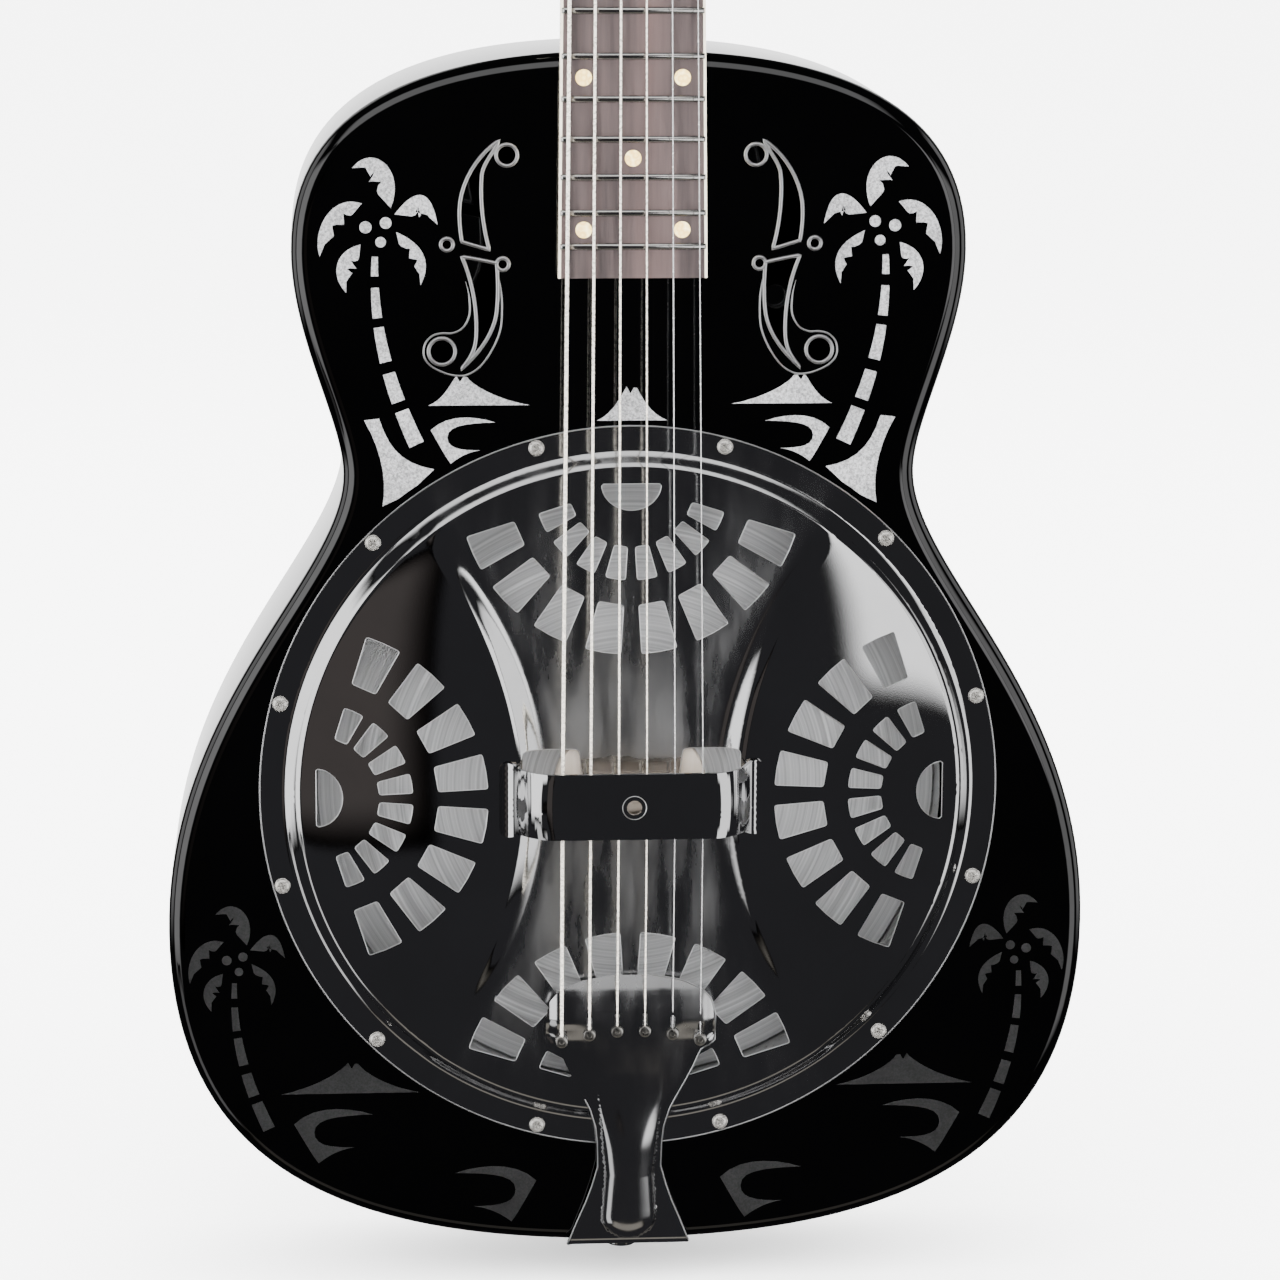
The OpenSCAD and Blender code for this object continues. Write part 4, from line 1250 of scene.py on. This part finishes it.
# ---------------------------------------------------------------- tuners
POST_Z = [36, 76, 116]
WORM_DROP, GEAR_R, GEAR_TEETH, WORM_R, WORM_OFFSET = 7.2, 5.0, 14, 2.1, 0.7
LEAD = 2 * math.pi * GEAR_R / GEAR_TEETH   # how far a turn of the thread reaches
WORM_TURNS, WORM_STEPS = 4, 96
WORM_Y, POST_X, POST_R, WINDING_Y, BUTTON_X = 19.4, 20.0, 3.0, -4.6, 43.0


def tuner_place(n):
    """The side and the place along the headstock of tuner n's post."""
    return (-1, POST_Z[n - 1]) if n < 4 else (1, POST_Z[6 - n])


def head_axis(vector):
    return on_head([vector])[0] - on_head([(0, 0, 0)])[0]


def build_post(n):
    """The string post, with its string wound round it."""
    side, z = tuner_place(n)
    body = f"tuner_post_{n}"
    centre = on_head([(side * POST_X, 0, z)])[0]
    out = head_axis((0, -1, 0))
    post = lathe(f"tuner_post_{n}_turned",
                 [(0, -17), (2.9, -17), (2.9, 1), (POST_R, 1.2), (POST_R, 1.9), (2.7, 2.7),
                  (2.45, 4.0), (2.45, 5.4), (2.8, 7.2), (POST_R, 8.0), (POST_R, 9.5), (2.7, 10.0),
                  (0, 10.0)], centre, out, "bright", 40, body)
    stands_for(f"post_{n}")
    r = STRING_R[n - 1]
    turns = 2.5 if n < 4 else 4.5
    coil = []
    for a in np.arange(0, turns * 2 * math.pi, 0.22):
        radius = 2.5 + r + 0.3 * abs(a / (turns * math.pi) - 1)
        along = WINDING_Y + (a / (turns * 2 * math.pi) - 0.5) * turns * 2.1 * r
        coil.append((side * (POST_X - radius * math.cos(a)), along, z + radius * math.sin(a)))
    kind = "wound" if n < 5 else "plain"
    winding = tube_piece(f"winding_{n}", on_head(coil), r, kind, sides=8, body=body)


def build_worm(n):
    """The worm's thread, a circle turned round the shaft a little off its middle, and the shaft."""
    side, z = tuner_place(n)
    body = f"tuner_button_{n}"
    worm_centre = np.array([side * POST_X, WORM_Y, z - WORM_DROP])
    rings = []
    for i in range(WORM_STEPS + 1):
        a = WORM_TURNS * 2 * math.pi * i / WORM_STEPS
        at = WORM_TURNS * LEAD * (i / WORM_STEPS - 0.5)
        centre_y, centre_z = WORM_OFFSET * math.sin(a), WORM_OFFSET * math.cos(a)
        rings.append(on_head([worm_centre + (at, centre_y + WORM_R * math.sin(b),
                                             -centre_z + WORM_R * math.cos(b))
                              for b in np.linspace(0, 2 * math.pi, 20, endpoint=False)]))
    thread = loft(f"worm_{n}_thread", rings, "brass", body)
    stands_for(f"worm_{n}")
    reach = BUTTON_X - POST_X
    shaft = lathe(f"worm_{n}_shaft",
                  [(0, -9), (1.2, -9), (1.5, -8.7), (1.5, -6.39), (2.3, -6.2), (2.3, -4.6),
                   (1.4, -4.5), (1.4, 4.5), (2.3, 4.6), (2.3, 6.2), (1.5, 6.4), (1.5, reach - 7),
                   (2.1, reach - 6), (2.1, reach - 4.6), (1.5, reach - 3.6), (1.5, reach + 0.5),
                   (0, reach + 0.5)],
                  on_head([worm_centre])[0], head_axis((side, 0, 0)), "bright", 32, body)
    stands_for(f"worm_{n}")


def build_button(n):
    """The oval button: each ring's distance along the shaft, half width and half thickness."""
    side, z = tuner_place(n)
    rings = []
    for t, wide, thick in [(0, 2.5, 2.5), (0.6, 2.9, 2.8), (2.2, 3.3, 2.9), (3.4, 5.2, 3.1),
                           (4.6, 6.9, 3.3), (6.4, 7.7, 3.5), (8.6, 8.1, 3.6), (11, 8.0, 3.5),
                           (12.6, 7.4, 3.1), (13.5, 6.5, 2.4), (13.9, 5.3, 1.5), (14, 3.5, 0.8)]:
        ring_points = []
        for b in np.linspace(0, 2 * math.pi, 36, endpoint=False):
            c, s = math.cos(b), math.sin(b)
            ring_points.append((side * (BUTTON_X + t),
                                WORM_Y + thick * math.copysign(abs(s) ** 0.8, s),
                                z - WORM_DROP + wide * math.copysign(abs(c) ** 0.8, c)))
        rings.append(on_head(ring_points))
    button = loft(f"button_{n}_oval", rings, "button", f"tuner_button_{n}", angle=60)
    stands_for(f"button_{n}")


# ---------------------------------------------------------------- end pin
def build_end_pin():
    low = box_mm("end_pin")[0]
    pin = lathe("end_pin_turned",
                [(0, 0), (3.2, 0.05), (5.6, 0.5), (6.8, 1.5), (7.0, 2.6), (6.4, 3.3), (4.4, 3.9),
                 (3.5, 5.2), (3.4, 7.5), (4.2, 10.2), (6.0, 12.4), (6.0, 13.3), (4, 13.35),
                 (4, 32), (0, 32)], (0, 0, low[2]), (0, 0, 1), "bright", 64)
    stands_for("end_pin")


# ---------------------------------------------------------------- carried-over nodes
KEPT = {
    "well": ["soundwell"],
    "maple": ["tail_block", "neck_stick", "stick_posts"],
    "rosewood": ["fretboard"],
    "overlay": ["headstock_overlay"],
    "binding": ["fretboard_binding"],
    "pearl": ["position_dots"],
    "black": ["truss_rod_cover", "heel_cap"],
    "bright": ["tuner_plates", "tuner_bushings", "plate_screws", "truss_rod", "biscuit_screw"],
    "brass": [f"gear_{n}" for n in range(1, 7)],
    "wound": [f"string_{n}" for n in range(1, 5)],
    "plain": ["string_5", "string_6"],
}


def finish_kept():
    for material, names in KEPT.items():
        for name in names:
            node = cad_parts[name]
            for place in node.material_slots:
                place.material = MATERIALS[material]
            node.data.shade_smooth()
            node.data.set_sharp_from_angle(angle=math.radians(32))


# ---------------------------------------------------------------- stage
def stage_material(name, tone, glow):
    m = Nodes(name)
    colour = (tone, tone, tone, 1)
    m.set(Base_Color=colour, Roughness=0.9, Emission_Color=colour, Emission_Strength=glow)
    return m.material


def stage_piece(name, work, material, casts_shadow):
    """Makes a part of the stage from a bmesh. The plating doesn't mirror it."""
    data = bpy.data.meshes.new(name)
    work.to_mesh(data)
    work.free()
    data.materials.append(material)
    data.shade_smooth()
    shown = bpy.data.objects.new(name, data)
    bpy.context.collection.objects.link(shown)
    shown.visible_glossy = False
    shown.visible_shadow = casts_shadow


def build_stage():
    """A pale floor, and a pale dome round everything, in metres."""
    radius = 9
    work = bmesh.new()
    bmesh.ops.create_circle(work, cap_ends=True, segments=96, radius=radius)
    bmesh.ops.translate(work, verts=work.verts, vec=(0, 0, CAD_BOX[0][2] - 0.001))
    stage_piece("floor", work, stage_material("floor_pale", 0.94, 0.5), True)
    work = bmesh.new()
    bmesh.ops.create_uvsphere(work, u_segments=64, v_segments=32, radius=radius)
    stage_piece("dome", work, stage_material("dome_pale", 1, 1.9), False)


def area_light(name, place, target, size, power):
    data = bpy.data.lights.new(name, "AREA")
    data.shape = "RECTANGLE"
    data.size, data.size_y = size
    data.energy = power
    lamp = bpy.data.objects.new(name, data)
    bpy.context.collection.objects.link(lamp)
    lamp.location = place
    lamp.rotation_euler = (Vector(target) - Vector(place)).to_track_quat("-Z", "Y").to_euler()
    lamp.visible_glossy = False


def board_glow(name, strength, colour):
    """A glow that fades out towards the board's edges."""
    m = Nodes(name)
    m.tree.nodes.remove(m.shader)
    parts = m.add("SeparateXYZ")
    m.link(m.add("TexCoord").outputs["Generated"], parts.inputs["Vector"])
    edges = []
    for axis in "XY":
        fade = m.add("MapRange", interpolation_type="SMOOTHSTEP")
        fade.inputs["From Max"].default_value = 0.16
        m.link(m.math("PINGPONG", parts.outputs[axis], 0.5), fade.inputs["Value"])
        edges.append(fade.outputs["Result"])
    glow = m.add("Emission")
    glow.inputs["Color"].default_value = (*colour, 1)
    m.link(m.math("MULTIPLY", m.math("MULTIPLY", *edges), strength), glow.inputs["Strength"])
    m.link(glow.outputs["Emission"], m.tree.nodes["Material Output"].inputs["Surface"])
    return m.material


def reflector(name, azimuth, elevation, width, height, strength, colour=(1, 1, 1)):
    """A soft-edged white board that only shows as a reflection. Azimuth 0 is straight in front of
    the coverplate, and turns towards +X; all the angles are degrees."""
    away = 2.6
    a, e = math.radians(azimuth), math.radians(elevation)
    aim = Vector((0, FRONT_Y * MM, PLATE_Z * MM))
    back = Vector((math.sin(a) * math.cos(e), -math.cos(a) * math.cos(e), math.sin(e)))
    half_w, half_h = (away * math.tan(math.radians(angle / 2)) for angle in (width, height))
    work = bmesh.new()
    bmesh.ops.create_grid(work, x_segments=1, y_segments=1, size=1)
    bmesh.ops.scale(work, verts=work.verts, vec=(half_w, half_h, 1))
    data = bpy.data.meshes.new(name)
    work.to_mesh(data)
    work.free()
    data.materials.append(board_glow(name, strength, colour))
    board = bpy.data.objects.new(name, data)
    bpy.context.collection.objects.link(board)
    board.location = aim + back * away
    board.rotation_euler = back.to_track_quat("Z", "Y").to_euler()
    board.visible_camera = board.visible_diffuse = board.visible_shadow = False


def build_reflectors():
    """What the plating mirrors, from the reflections that the real one shows."""
    reflector("board_room", -20, -6, 24, 22, 0.085, (1.0, 0.88, 0.84))
    reflector("board_right_near", 27, 2, 21, 20, 2.2)
    reflector("board_right", 52, -6, 40, 50, 1.7)
    reflector("board_left", -64, 4, 46, 56, 2.2)
    reflector("board_left_low", -62, -34, 20, 30, 1.1)
    reflector("board_over", -8, 48, 80, 40, 1.5)
    reflector("board_under", 0, -58, 70, 24, 0.35, (1.0, 0.93, 0.82))
    reflector("board_side_right", 100, 10, 34, 60, 1.4)
    reflector("board_side_left", -105, 12, 34, 60, 1.4)
    reflector("board_back_right", 150, 8, 26, 70, 1.2)
    reflector("board_backdrop", -178, 4, 58, 60, 2.6)
    reflector("board_back_left", -155, 20, 30, 60, 1.2)


def build_lights():
    world = bpy.data.worlds.new("studio")
    bpy.context.scene.world = world
    world.use_nodes = True
    back = world.node_tree.nodes["Background"]
    back.inputs["Color"].default_value = (0.03, 0.03, 0.033, 1)
    back.inputs["Strength"].default_value = 1.0
    aim = (0, 0, 0.3)
    area_light("key", (-1.7, -1.5, 1.5), aim, (0.9, 1.3), 26)
    area_light("fill", (1.8, -1.2, 0.9), aim, (0.5, 1.4), 14)
    area_light("top", (0, -0.4, 2.4), aim, (1.6, 0.7), 20)
    area_light("back_left", (-1.4, 1.8, 1.2), aim, (0.8, 1.4), 26)
    area_light("back_right", (1.6, 1.5, 1.4), aim, (0.8, 1.4), 26)


# ---------------------------------------------------------------- build
build_body()
build_lips()
build_border_lines()
build_decor()
build_coverplate()
build_plate_screws()
build_hand_rest()
build_tailpiece()
build_cone()
build_biscuit()
build_saddle()
build_ball_ends()
build_shaft()
build_board_support()
build_headstock()
build_frets()
build_nut()
for number in range(1, 7):
    build_post(number)
    build_worm(number)
    build_button(number)
build_end_pin()
finish_kept()
build_stage()
build_reflectors()
build_lights()
